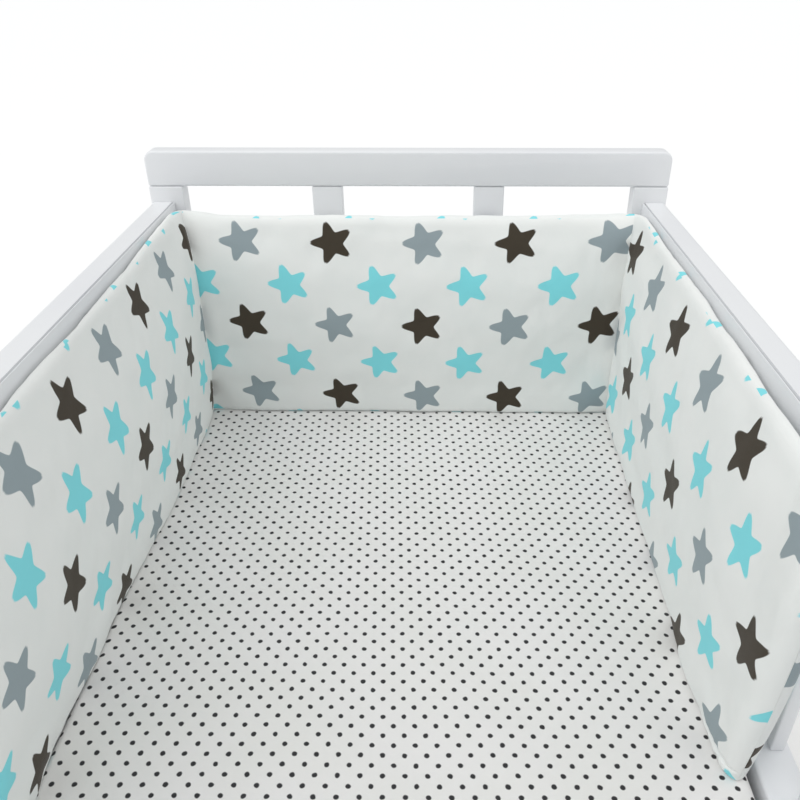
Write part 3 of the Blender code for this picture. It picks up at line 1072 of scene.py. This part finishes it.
@dataclass
class BumperPad:
    """The filled pad: a cotton cover over wadding, stood on its edge and bent into a U.

    A ring of points goes up the face, over the ridge, down the back and under the foot. The rings stand
    side by side from the left panel's free end to the right panel's.
    """

    material: bpy.types.Material
    clear_side: float = 0.002
    clear_head: float = 0.0022
    full_height: float = 0.100  # from here up the face has its whole depth
    top_round: float = 0.090
    ridge_share: float = 0.13  # where the ridge is, from the back's depth to the face's
    back_round: float = 0.013
    back_swell: float = 0.004
    back_swell_run: float = 0.100
    back_swell_top: float = 0.020  # how far below the rail the swelling ends
    back_foot: float = 0.004  # height at which the back starts to turn under
    back_turn: Rows = ((0.0005, 0.001), (0.002, 0.0))  # depths and heights of its small round there
    foot_round: float = 0.006
    foot_tuck: float = 0.0040
    seam_height: float = 0.012
    seam_deep: float = 0.0050
    seam_wide: float = 0.0013
    seam_run: float = 0.110  # how far from a free end the seam goes under the foot
    seam_low: float = 0.10  # share of the seam's height that is left beyond that
    seam_faint: float = 0.15  # and share of its depth
    below_seam: tuple[float, ...] = (0.0, 0.04, 0.12, 0.24, 0.38, 0.54, 0.70, 0.84, 0.93, 0.98)
    over_seam: tuple[float, ...] = (0.0, 0.02, 0.06, 0.13, 0.24, 0.39, 0.60, 0.83)
    over_seam_top: float = 0.028  # the points that stand close about the seam end here
    face_start: float = 0.030  # and those that stand evenly start here
    corner_clear: float = 0.048
    corner_steps: int = 10
    corner_gather: float = 1.6  # how much closer the rings stand towards the crease
    crease_deep: float = 0.0040
    end_round: float = 0.015
    end_steps: int = 15
    end_turn: float = 84.0  # degrees that the round goes in even steps
    end_last_turn: float = 89.4  # and up to the narrow cap
    end_blend: float = 0.120
    end_foot_pull: float = 0.0192
    end_foot_pull_height: float = 0.260
    end_top_pull: float = 0.020
    end_top_pull_height: float = 0.070
    step: float = 0.0048
    lies: tuple[PrintLie, PrintLie, PrintLie] = (
        PrintLie(
            along=(
                (0.0803, -0.3365, 1.1386, -1.0167),
                (-1.5247, 0.6419, -0.0469, 0.0),
                (0.4456, -0.7163, 0.0, 0.0),
                (-0.1326, 0.0, 0.0, 0.0),
            ),
            up=(
                (-0.0553, 1.3596, -2.0324, 3.7397),
                (0.0600, 0.0620, -1.1770, 0.0),
                (0.0845, 0.3496, 0.0, 0.0),
                (-0.2163, 0.0, 0.0, 0.0),
            ),
        ),
        PrintLie(
            along=((0.0254, 0.0573, -0.0877), (1.0474, -0.1011, 0.0), (-0.0329, 0.0, 0.0)),
            up=((-0.0456, 1.0691, -0.0680), (0.0521, -0.0848, 0.0), (-0.0496, 0.0, 0.0)),
        ),
        PrintLie(
            along=(
                (0.7578, -0.6935, 1.8282, -2.0380),
                (0.9489, 0.9005, -0.8770, 0.0),
                (0.0508, -0.5566, 0.0, 0.0),
                (0.2742, 0.0, 0.0, 0.0),
                (-0.2082, 0.0, 0.0, 0.0),
            ),
            up=(
                (0.0211, 0.6098, 1.2564, -1.8398),
                (-0.0028, 0.4505, -0.6055, 0.0),
                (-0.3886, -0.0489, 0.0, 0.0),
                (0.9736, 0.0, 0.0, 0.0),
                (-0.9035, 0.0, 0.0, 0.0),
            ),
        ),
    )
    left: tuple[Station, ...] = (
        Station(0.000, 0.0178, 0.0268, 0.000, 0.3075),
        Station(0.120, 0.0200, 0.0262, 0.000, 0.3020),
        Station(0.240, 0.0210, 0.0255, 0.000, 0.2960),
        Station(0.400, 0.0132, 0.0238, 0.000, 0.2955),
        Station(0.500, 0.0120, 0.0238, 0.000, 0.2945),
        Station(0.590, 0.0122, 0.0242, 0.000, 0.2950),
        Station(0.680, 0.0180, 0.0252, 0.001, 0.2955),
        Station(0.744, 0.0230, 0.0275, 0.003, 0.2950),
    )
    head: tuple[Station, ...] = (
        Station(0.000, 0.0342, 0.0387, 0.006, 0.3005),
        Station(0.080, 0.0344, 0.0389, 0.006, 0.2935),
        Station(0.200, 0.0346, 0.0391, 0.006, 0.2930),
        Station(0.330, 0.0358, 0.0403, 0.006, 0.2935),
        Station(0.450, 0.0370, 0.0415, 0.006, 0.2940),
        Station(0.550, 0.0376, 0.0421, 0.006, 0.2950),
        Station(0.621, 0.0380, 0.0425, 0.006, 0.2980),
    )
    right: tuple[Station, ...] = (
        Station(0.000, 0.0190, 0.0225, 0.000, 0.3035),
        Station(0.165, 0.0226, 0.0266, 0.000, 0.2990),
        Station(0.315, 0.0270, 0.0315, 0.000, 0.2980),
        Station(0.430, 0.0288, 0.0333, 0.001, 0.2970),
        Station(0.520, 0.0340, 0.0385, 0.005, 0.2970),
        Station(0.590, 0.0315, 0.0360, 0.006, 0.2960),
        Station(0.640, 0.0305, 0.0350, 0.007, 0.2940),
    )
    head_folds: tuple[Fold, ...] = (
        Fold(0.115, 0.215, 0.0010, 0.012, 0.060, 0.05),
        Fold(0.185, 0.255, 0.0012, 0.008, 0.035, 0.02),
        Fold(0.300, 0.120, 0.0006, 0.014, 0.090, -0.04),
        Fold(0.395, 0.235, 0.0012, 0.010, 0.050, 0.00),
        Fold(0.415, 0.110, 0.0007, 0.012, 0.080, 0.06),
        Fold(0.500, 0.190, 0.0012, 0.009, 0.070, -0.03),
        Fold(0.552, 0.240, 0.0010, 0.008, 0.045, 0.04),
    )
    swells: tuple[Ripples, Ripples] = (Ripples(3, 0.05, 0.20, 0.0006), Ripples(5, 0.018, 0.045, 0.00014))
    puckers: Ripples = Ripples(8, 0.009, 0.022, 0.0004)  # along the foot's seam
    pucker_stretch: float = 0.3  # they run up and down
    pucker_wide: float = 0.011
    wadding: Wadding = Wadding()
    fill: float = 0.7
    hold_run: float = 0.030  # how far from a crease or a free end the cover comes free
    hold_foot: float = 0.016  # height up to which the foot is held
    hold_foot_run: float = 0.040  # and how far above it the cover comes free
    hold_ridge_points: int = 12  # points below the ridge over which it is held again
    back_print: tuple[float, float] = (0.009, -0.0395)  # how the back's cloth lies, from the right end
    back_ease: float = 1.045  # how much of its length is taken up in the sewing
    strip_print: tuple[float, float] = (0.0447, -0.0415)  # how the strip's cloth lies
    seam_point: int = 9  # of a ring: where the strip at the foot is sewn to the face's cloth
    middle_point: int = 40  # of a ring: halfway up the face, where the pad's length is taken
    face_points: int = 57  # points of a ring from the foot to the shoulder
    top_points: int = 22  # and over the rounded top, to the ridge
    top_seam: int = 4  # how many points before the ridge the face's cloth ends
    back_round_points: int = 7  # from the ridge to the back
    back_points: int = 26  # and down it
    sole_points: int = 3  # and under the foot, back to the face
    foot_fade: tuple[float, ...] = (0.0, 0.2, 0.5, 0.8)  # how the ripples start at a ring's first points

    def __post_init__(self) -> None:
        """Takes the pad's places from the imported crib."""
        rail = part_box("side_top_rail_right")[0]
        self.back_x = rail.x - self.clear_side
        self.back_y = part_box("head_post_left")[0].y - self.clear_head
        self.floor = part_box("bumper_pad")[0].z
        self.swell_height = rail.z - self.floor - self.back_swell_top
        self.ridge_point = self.face_points + self.top_points

    def station(self, table: tuple[Station, ...], along: float) -> Station:
        """Finds the section at a distance along a panel.

        Args:
            table: The panel's sections in order.
            along: The distance.

        Returns:
            The section, eased between the rows on each side.
        """
        for before, after in zip(table, table[1:]):
            if along <= after.along:
                break
        return before.toward(after, (along - before.along) / (after.along - before.along))

    def section(self, station: Station, swell: float, near_end: float = 0.0) -> np.ndarray:
        """The pad's closed section, up the face, over the ridge, down the back and under the foot.

        Args:
            station: Its sizes.
            swell: How far its back swells out below the rail.
            near_end: 1 at a free end, where the foot's seam comes up into view, and 0 away from it.

        Returns:
            Depths from the back plane and heights above the mattress, as points by two.
        """
        shoulder = station.top - self.top_round
        seam_height = self.seam_height * max(near_end, self.seam_low)
        seam_deep = self.seam_deep * max(near_end, self.seam_faint)
        below_seam = np.array(self.below_seam) * seam_height
        over_seam = seam_height + np.array(self.over_seam) * (self.over_seam_top - seam_height)
        rest = self.face_points - len(below_seam) - len(over_seam)
        height = np.concatenate([below_seam, over_seam, np.linspace(self.face_start, shoulder, rest)])
        below = np.clip(1 - height / self.full_height, 0.0, 1.0)
        depth = station.face - (station.face - station.foot) * below**2
        under = np.clip(1 - height / self.foot_round, 0.0, 1.0)
        depth = depth - self.foot_tuck * (1 - np.sqrt(1 - under**2))
        depth = depth - seam_deep * np.exp(-np.abs(height - seam_height) / self.seam_wide)
        ridge = station.stand_off + self.ridge_share * (station.face - station.stand_off)
        turn = np.radians(np.linspace(0, 90, self.top_points + 1)[1:])
        top_depth = ridge + (station.face - ridge) * np.cos(turn)
        top_height = shoulder + self.top_round * np.sin(turn)
        turn = np.radians(np.linspace(90, 0, self.back_round_points + 1)[1:])
        back_depth = station.stand_off + (ridge - station.stand_off) * (1 - np.cos(turn))
        back_height = station.top - self.back_round + self.back_round * np.sin(turn)
        down = np.linspace(station.top - self.back_round, self.back_foot, self.back_points + 1)[1:]
        wave = np.sin(math.pi * np.clip(down / self.swell_height, 0.0, 1.0))
        down_depth = station.stand_off - swell * wave
        foot_depth, foot_height = np.array(self.back_turn).T + [[station.stand_off], [0.0]]
        sole = np.linspace(0, 1, self.sole_points + 2)[1:-1]
        sole = foot_depth[-1] + (depth[0] - foot_depth[-1]) * sole
        depths = np.concatenate([depth, top_depth, back_depth, down_depth, foot_depth, sole])
        heights = np.concatenate([height, top_height, back_height, down, foot_height, 0 * sole])
        return np.stack([depths, heights], axis=1)

    def pull(self, height: np.ndarray, top: float) -> np.ndarray:
        """How far the free end stays back from its longest reach.

        Args:
            height: Heights above the mattress.
            top: The ridge's height there.

        Returns:
            How far, at each height.
        """
        foot = np.clip(1 - height / self.end_foot_pull_height, 0.0, 1.0)
        head = np.clip(1 - (top - height) / self.end_top_pull_height, 0.0, 1.0)
        return self.end_foot_pull * foot**2 + self.end_top_pull * head**2

    def side_rings(self, panel: Panel) -> tuple[np.ndarray, np.ndarray]:
        """Rings of a side panel from its corner to its free end.

        Args:
            panel: Which side panel.

        Returns:
            The rings' points, and each point's distance from the corner along the cloth.
        """
        table = self.left if panel is Panel.LEFT else self.right
        sign = 1.0 if panel is Panel.LEFT else -1.0
        length = table[-1].along
        straight = length - self.end_round
        count = round((straight - self.corner_clear) / self.step)
        rings = []
        cloth = []
        for along in np.linspace(self.corner_clear, straight, count + 1)[:-1]:
            station = self.station(table, along)
            blend = max(0.0, 1 - (straight - along) / self.end_blend) ** 2
            swell = self.back_swell * min(1.0, (along - self.corner_clear) / self.back_swell_run)
            near_end = max(0.0, 1 - (straight - along) / self.seam_run)
            points = self.section(station, swell, near_end * near_end * (3 - 2 * near_end))
            place = along - blend * self.pull(points[:, 1], station.top)
            rings.append(self.side_ring(sign, place, points))
            cloth.append(place)
        turns = np.append(np.linspace(0, self.end_turn, self.end_steps - 1), self.end_last_turn)
        for turn in np.radians(turns):
            along = length - self.end_round * (1 - math.sin(turn))
            thin = math.cos(turn)
            station = self.station(table, along)
            points = self.section(station, self.back_swell * thin, 1.0)
            middle = (station.stand_off + station.foot) / 2
            points[:, 0] = middle + (points[:, 0] - middle) * thin
            pull = self.pull(points[:, 1], station.top)
            rings.append(self.side_ring(sign, along - pull, points))
            cloth.append(straight + self.end_round * turn - pull)
        return np.array(rings), np.array(cloth)

    def side_ring(self, sign: float, along: np.ndarray, points: np.ndarray) -> np.ndarray:
        """Stands a section at its distances from a head corner on one side."""
        x = sign * (-self.back_x + points[:, 0])
        return np.stack([x, self.back_y - along, self.floor + points[:, 1]], axis=1)

    def head_rings(self) -> tuple[np.ndarray, np.ndarray]:
        """Rings of the head panel.

        Returns:
            The rings' points from left to right, and each point's distance from the left corner.
        """
        count = round((2 * self.back_x - 2 * self.corner_clear) / self.step)
        rings = []
        cloth = []
        for along in np.linspace(self.corner_clear, 2 * self.back_x - self.corner_clear, count + 1):
            points = self.section(self.station(self.head, along), 0.0)
            x = np.full(len(points), -self.back_x + along)
            rings.append(np.stack([x, self.back_y - points[:, 0], self.floor + points[:, 1]], axis=1))
            cloth.append(x + self.back_x)
        return np.array(rings), np.array(cloth)

    def corner_shares(self) -> np.ndarray:
        """How far each ring of a corner is from its panel's last square ring to the crease."""
        return 1 - np.linspace(1, 0, self.corner_steps + 1) ** self.corner_gather

    def corner(
        self, first: np.ndarray, last: np.ndarray, sign: float, tables: tuple[Station, Station]
    ) -> tuple[np.ndarray, np.ndarray]:
        """The turn between two panels: a crease in front, a soft round behind.

        Args:
            first: The last square ring of the panel before the corner.
            last: The first square ring of the panel after it.
            sign: -1 at the left corner and 1 at the right one.
            tables: The side's and the head's stations at the corner.

        Returns:
            Rings up to the crease and rings after it, the crease's own ring in both.
        """
        side = self.section(tables[0], 0.0)
        head = self.section(tables[1], 0.0)
        x = sign * (self.back_x - side[:, 0])
        y = self.back_y - head[:, 0]
        crease = np.stack([x, y, self.floor + (side[:, 1] + head[:, 1]) / 2], axis=1)
        front = np.clip(side[:, 0] / tables[0].foot, 0.0, 1.0)[:, None]
        crease = crease + np.array([sign * 1.0, 1.0, 0.0]) * self.crease_deep * front**2
        sides = []
        for near, far in ((first, last), (last, first)):
            rings = []
            for share in self.corner_shares():
                straight = near + (crease - near) * share
                # Behind, the cloth goes round a soft bend instead of into the mitre.
                bend = share * 0.5
                soft = (1 - bend) ** 2 * near + 2 * bend * (1 - bend) * crease + bend**2 * far
                rings.append(straight * front + soft * (1 - front))
            sides.append(np.array(rings))
        return sides[0], sides[1][::-1]

    def corner_cloth(self, last: np.ndarray, other: Station) -> np.ndarray:
        """Distances along the cloth of the rings between a square ring and the crease.

        Args:
            last: The square ring's distances from the back corner.
            other: The neighbouring panel's station at the corner, whose face makes the crease.

        Returns:
            Distances, as rings by points.
        """
        return last + (other.face - self.crease_deep - last) * self.corner_shares()[:, None]

    def cloth(self, panel: Panel, along: np.ndarray, up: np.ndarray) -> np.ndarray:
        """Lays the printed cloth over a panel's rings: the face's, the back's and the strip's at the foot.

        The face's cloth is sewn to the strip above the foot, to the back's cloth just in front of the
        ridge, and to both down the free ends.

        Args:
            panel: Which panel.
            along: Distances along the cloth, as rings by points.
            up: Distances up the cloth, as rings by points + 1.

        Returns:
            Each quad's places on the print, as cells by points by four by two.
        """
        wide = close_rings(along)
        face = quad_corners(self.lies[panel.value].place(wide, up))
        width = 2 * self.back_x
        run = {Panel.LEFT: -wide, Panel.HEAD: wide, Panel.RIGHT: width + wide}[panel]
        strip = quad_corners(np.stack([run, up], axis=-1) + self.strip_print)
        foot = self.ridge_point + self.back_round_points + self.back_points
        away = width + self.right[-1].along - run
        down = (up[:, foot : foot + 1] - up) * self.back_ease
        back = quad_corners(np.stack([away, down], axis=-1) + self.back_print)
        point = np.arange(along.shape[1])[None, :, None, None]
        seam = self.ridge_point - self.top_seam
        return np.where(point < self.seam_point, strip, np.where(point < seam, face, back))

    def build(self) -> bpy.types.Object:
        """Lofts the pad and lays its cloth.

        Returns:
            The finished piece.
        """
        left, left_cloth = self.side_rings(Panel.LEFT)
        right, right_cloth = self.side_rings(Panel.RIGHT)
        head, head_cloth = self.head_rings()
        left, left_cloth = left[::-1], left_cloth[::-1]
        into_left, out_left = self.corner(left[-1], head[0], -1.0, (self.left[0], self.head[0]))
        into_right, out_right = self.corner(head[-1], right[0], 1.0, (self.right[0], self.head[-1]))
        width = 2 * self.back_x
        parts = [left, into_left[1:], out_left[1:-1], head, into_right[1:], out_right[1:-1], right]
        rings = np.concatenate(parts)
        head_start = self.corner_cloth(head_cloth[0], self.left[0])[:0:-1]
        head_end = width - self.corner_cloth(width - head_cloth[-1], self.right[0])[1:]
        stretches = (
            np.concatenate([left_cloth, self.corner_cloth(left_cloth[-1], self.head[0])[1:]]),
            np.concatenate([head_start, head_cloth, head_end]),
            np.concatenate([self.corner_cloth(right_cloth[0], self.head[-1])[:0:-1], right_cloth]),
        )
        steps = np.linalg.norm(np.diff(rings, axis=1, append=rings[:, :1]), axis=2)
        up = np.concatenate([np.zeros((len(rings), 1)), np.cumsum(steps, axis=1)], axis=1)
        cells = []
        creases = [0]  # the rings at which the panels begin, each the last one's end
        for panel, along in zip(Panel, stretches):
            start = creases[-1]
            cells.append(self.cloth(panel, along, up[start : start + len(along)]))
            creases.append(start + len(along) - 1)
        rings = self.relieve(rings, creases[1], creases[2], up[:, :-1])
        obj = loft("pad_cover", rings, np.concatenate(cells))
        self.close_ends(obj, len(rings), rings.shape[1])
        dress(obj, self.material, "bumper_pad")
        return obj

    def relieve(self, rings: np.ndarray, first: int, last: int, up: np.ndarray) -> np.ndarray:
        """Moves the cloth in and out along its normal: soft waves, upright folds and the foot's puckers.

        Args:
            rings: The plain pad.
            first: The ring at the left crease.
            last: The ring at the right crease.
            up: Distances up the cloth, as rings by points.

        Returns:
            The moved rings.
        """
        around_step = np.roll(rings, -1, axis=1) - np.roll(rings, 1, axis=1)
        normal = np.cross(np.gradient(rings, axis=0), around_step)
        normal /= np.linalg.norm(normal, axis=2, keepdims=True) + 1e-12
        travel = np.linalg.norm(np.diff(rings[:, self.middle_point], axis=0), axis=1)
        along = np.concatenate([[0.0], np.cumsum(travel)])[:, None] + 0 * up
        height = rings[:, :, 2] - self.floor
        rings = rings + self.wadding.swell(rings, normal, self.held(rings, first, last, height))
        lift = sum(ripples.at(along, up) for ripples in self.swells)
        ends = np.minimum(np.arange(len(rings)), np.arange(len(rings))[::-1])
        near_end = 1 - (ends - self.end_steps) * self.step / self.seam_run
        near_end = np.clip(near_end, self.seam_faint, 1.0)[:, None]
        pucker = self.puckers.at(along, self.pucker_stretch * up)
        lift += pucker * np.exp(-(((height - self.seam_height) / self.pucker_wide) ** 2)) * near_end
        distance = rings[:, self.middle_point, 0] + self.back_x
        for fold in self.head_folds:
            middle = fold.along + fold.lean * (height - fold.height)
            across = (distance[:, None] - middle) / fold.wide
            updown = (height - fold.height) / fold.tall
            trough = fold.depth * np.exp(-(across**2) - updown**2)
            lift[first:last] -= trough[first:last]
        face = np.zeros(rings.shape[1])
        face[: self.ridge_point] = 1.0
        over = self.back_round_points
        face[self.ridge_point : self.ridge_point + over] = np.linspace(1.0, 0.0, over)
        face[: len(self.foot_fade)] = self.foot_fade
        fade = np.clip(ends / self.end_steps, 0.0, 1.0)[:, None]
        moved = rings + normal * (lift * face[None, :] * fade)[:, :, None]
        moved[:, :, 2] = np.maximum(moved[:, :, 2], self.floor)
        return moved

    def held(self, rings: np.ndarray, first: int, last: int, height: np.ndarray) -> np.ndarray:
        """How firmly the cover is held: at its foot, its creases, its free ends and all down its back.

        Args:
            rings: The plain pad.
            first: The ring at the left crease.
            last: The ring at the right crease.
            height: Each point's height above the mattress.

        Returns:
            Shares from 0, free, to 1, held, as rings by points.
        """
        number = np.arange(len(rings))
        ends = np.minimum(number, number[::-1]) - self.end_steps
        creases = np.minimum(abs(number - first), abs(number - last)) - self.corner_steps / 2
        away = np.clip(np.minimum(ends, creases) * self.step / self.hold_run, 0.0, 1.0)[:, None]
        above = np.clip((height - self.hold_foot) / self.hold_foot_run, 0.0, 1.0)
        points = np.arange(rings.shape[1])
        front = np.clip((self.ridge_point - points) / self.hold_ridge_points, 0.0, 1.0)[None, :]
        loose = away * above * front
        return 1 - loose * loose * (3 - 2 * loose)

    def close_ends(self, obj: bpy.types.Object, count: int, around: int) -> None:
        """Sews up the two free ends and turns all faces out.

        Args:
            obj: The lofted piece.
            count: How many rings it has.
            around: How many points a ring has.
        """
        mesh = bmesh.new()
        mesh.from_mesh(obj.data)
        mesh.verts.ensure_lookup_table()
        layer = mesh.loops.layers.uv[CLOTH_MAP]
        for start in (0, (count - 1) * around):
            loop = [mesh.verts[start + i] for i in range(around)]
            front = loop[self.seam_point + 1 : self.ridge_point - self.top_seam]
            near = [(v.co.z, v.link_loops[0][layer].uv.copy()) for v in front]
            face = mesh.faces.new(loop)
            # The cap takes the print of the face's cloth beside it, at the same height.
            for corner in face.loops:
                height = corner.vert.co.z
                corner[layer].uv = min(near, key=lambda place: abs(place[0] - height))[1]
            for edge in face.edges:
                edge.smooth = False
            bmesh.ops.triangulate(mesh, faces=[face], ngon_method="EAR_CLIP")
        turn_out(mesh, obj)


@dataclass
class SheetedMattress:
    """The mattress in its fitted sheet: flat, with rounded rims and a sheet drawn over them."""

    material: bpy.types.Material
    corner: float = 0.030
    rim: float = 0.009
    rim_steps: int = 6
    corner_steps: int = 8
    edge_step: float = 0.012
    centre_rings: int = 26
    waves: tuple[Ripples, Ripples] = (Ripples(11, 0.09, 0.35, 0.0005), Ripples(12, 0.03, 0.07, 0.00012))
    settle: float = 0.0005  # how far the waves are let down, so that none stands proud
    top_blend: float = 0.001  # depth below the top over which they fade out
    fill: float = 1.0

    def outline(self, half: np.ndarray, inset: float) -> np.ndarray:
        """A rounded rectangle, its points at the same shares of each side for every inset.

        Args:
            half: Half its width and half its length.
            inset: How far it is drawn in.

        Returns:
            Anticlockwise points, as points by two.
        """
        turn = max(self.corner - inset, 0.0)
        wide, long = half - inset - turn
        across, up = (round(2 * length / self.edge_step) for length in half)
        points = []
        corners = ((wide, -long, -90.0), (wide, long, 0.0), (-wide, long, 90.0), (-wide, -long, 180.0))
        for number, (x, y, start) in enumerate(corners):
            for step in range(self.corner_steps):
                angle = math.radians(start + 90.0 * step / self.corner_steps)
                points.append((x + turn * math.cos(angle), y + turn * math.sin(angle)))
            angle = math.radians(start + 90.0)
            reach = (turn * math.cos(angle), turn * math.sin(angle))
            begin = np.array([x, y]) + reach
            end = np.array(corners[(number + 1) % 4][:2]) + reach
            span = (up, across)[number % 2]
            points += [tuple(begin + (end - begin) * i / span) for i in range(span)]
        return np.array(points)

    def build(self) -> bpy.types.Object:
        """Lofts the mattress.

        Returns:
            The finished piece.
        """
        low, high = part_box("mattress")
        half = np.array([high.x - low.x, high.y - low.y]) / 2
        middle = (low + high) / 2
        turn = np.radians(np.linspace(0, 90, self.rim_steps + 1))
        inner = np.linspace(half[0], self.rim, self.centre_rings + 1)[:-1]
        # Each ring's inset and height, from the middle of the underside round to the middle of the top.
        steps = [(inset, low.z) for inset in inner]
        steps += [(self.rim * (1 - math.sin(a)), low.z + self.rim * (1 - math.cos(a))) for a in turn]
        steps += [(self.rim * (1 - math.cos(a)), high.z - self.rim * (1 - math.sin(a))) for a in turn]
        steps += [(inset, high.z) for inset in inner[::-1]]
        rings = []
        for inset, height in steps:
            ring = self.outline(half, inset) + middle.xy
            rings.append(np.column_stack([ring, np.full(len(ring), height)]))
        rings = np.array(rings)
        # The cloth's place on the flat: its top where it lies, and its sides folded out from the rim.
        places = []
        drop = 0.0
        above = steps[-1]
        for inset, height in reversed(steps):
            if min(height, above[1]) < high.z - 1e-6:
                drop += math.hypot(inset - above[0], height - above[1])
            above = (inset, height)
            flat = self.outline(half, self.rim if drop else max(inset, self.rim))
            way = flat / np.linalg.norm(flat / half, axis=1, keepdims=True)
            places.append(flat + way / np.linalg.norm(way, axis=1, keepdims=True) * drop)
        lift = sum(ripples.at(rings[:, :, 0], rings[:, :, 1]) for ripples in self.waves)
        on_top = np.clip((rings[:, :, 2] - high.z + self.top_blend) / self.top_blend, 0.0, 1.0)
        rings[:, :, 2] -= on_top * np.clip(lift + self.settle, 0.0, None)
        obj = loft("mattress_in_sheet", rings, quad_corners(close_rings(np.array(places[::-1]))))
        self.close(obj)
        dress(obj, self.material, "mattress")
        return obj

    def close(self, obj: bpy.types.Object) -> None:
        """Joins the halves along the middle of the top and of the underside.

        Args:
            obj: The lofted piece.
        """
        mesh = bmesh.new()
        mesh.from_mesh(obj.data)
        bmesh.ops.remove_doubles(mesh, verts=mesh.verts[:], dist=1e-6)
        bmesh.ops.dissolve_degenerate(mesh, edges=mesh.edges[:], dist=1e-6)
        turn_out(mesh, obj)


# ---------------------------------------------------------------------------------------------------
# Studio


@dataclass(frozen=True)
class Lamp:
    """A very large soft lamp, far off."""

    name: str
    toward: tuple[float, float, float]  # from the crib to the lamp
    energy: float
    spread: float  # degrees across, as seen from the crib

    def build(self) -> None:
        """Hangs the lamp."""
        lamp = bpy.data.lights.new(self.name, "SUN")
        lamp.energy = self.energy
        lamp.angle = math.radians(self.spread)
        obj = bpy.data.objects.new(self.name, lamp)
        obj.rotation_euler = Vector(self.toward).to_track_quat("Z", "Y").to_euler()
        bpy.context.scene.collection.objects.link(obj)


@dataclass(frozen=True)
class Studio:
    """Camera, soft light and a plain pale floor."""

    camera_place: tuple[float, float, float] = (0.0295, -0.3962, 1.1345)
    camera_tilt: float = 31.2  # degrees below the horizon
    camera_turn: float = 0.4
    lens: float = 34.65
    shift: float = -0.03125
    nearest: float = 0.01  # what is nearer to the camera doesn't show
    floor_color: str = "#f8f9f9"
    floor_roughness: float = 0.9
    floor_size: float = 80.0
    sky_color: str = "#ffffff"
    sky: float = 0.59
    lamps: tuple[Lamp, Lamp] = (
        Lamp("soft_key", (-1.0, -0.65, 1.5), 1.36, 60.0),
        Lamp("soft_fill", (1.0, -0.35, 1.3), 0.62, 60.0),
    )

    def camera(self) -> None:
        """Stands the camera at the photograph's place."""
        lens = bpy.data.cameras.new("camera")
        lens.lens = self.lens
        lens.shift_x = self.shift
        lens.clip_start = self.nearest
        obj = bpy.data.objects.new("camera", lens)
        obj.location = self.camera_place
        obj.rotation_euler = (math.radians(90 - self.camera_tilt), 0.0, math.radians(self.camera_turn))
        bpy.context.scene.collection.objects.link(obj)
        bpy.context.scene.camera = obj

    def lights(self) -> None:
        """Lights the scene with a white sky, a soft key from the front left and a fill from the right."""
        world = bpy.data.worlds.new("studio")
        world.use_nodes = True
        sky = {"Color": linear(self.sky_color), "Strength": self.sky}
        set_node(world.node_tree, world.node_tree.nodes["Background"], sky)
        bpy.context.scene.world = world
        for lamp in self.lamps:
            lamp.build()
        bpy.context.scene.view_settings.view_transform = "Standard"

    def floor(self) -> None:
        """Lays the floor."""
        bpy.ops.object.select_all(action="DESELECT")
        bpy.ops.mesh.primitive_plane_add(size=self.floor_size, location=(0.0, 0.0, 0.0))
        obj = bpy.context.active_object
        obj.name = "floor"
        material = new_material("studio_floor")  # seamless paper: matt and even
        values = {"Base Color": linear(self.floor_color), "Roughness": self.floor_roughness}
        set_node(material.node_tree, material.node_tree.nodes[SURFACE], values)
        obj.data.materials.append(material)


def main() -> None:
    """Builds the pieces in order."""
    logging.basicConfig(level=logging.INFO, format="%(name)s %(message)s")
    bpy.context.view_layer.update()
    studio = Studio()
    studio.camera()
    studio.lights()
    studio.floor()
    crib = Crib(paint=CribPaint().build(), timber=SlatTimber().build())
    soft = ("bumper_pad", "mattress")
    crib.build([name for name in sorted(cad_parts) if name not in soft])
    SheetedMattress(material=DottedCotton().build()).build()
    BumperPad(material=StarCotton().build()).build()


if __name__ == "__main__":
    main()
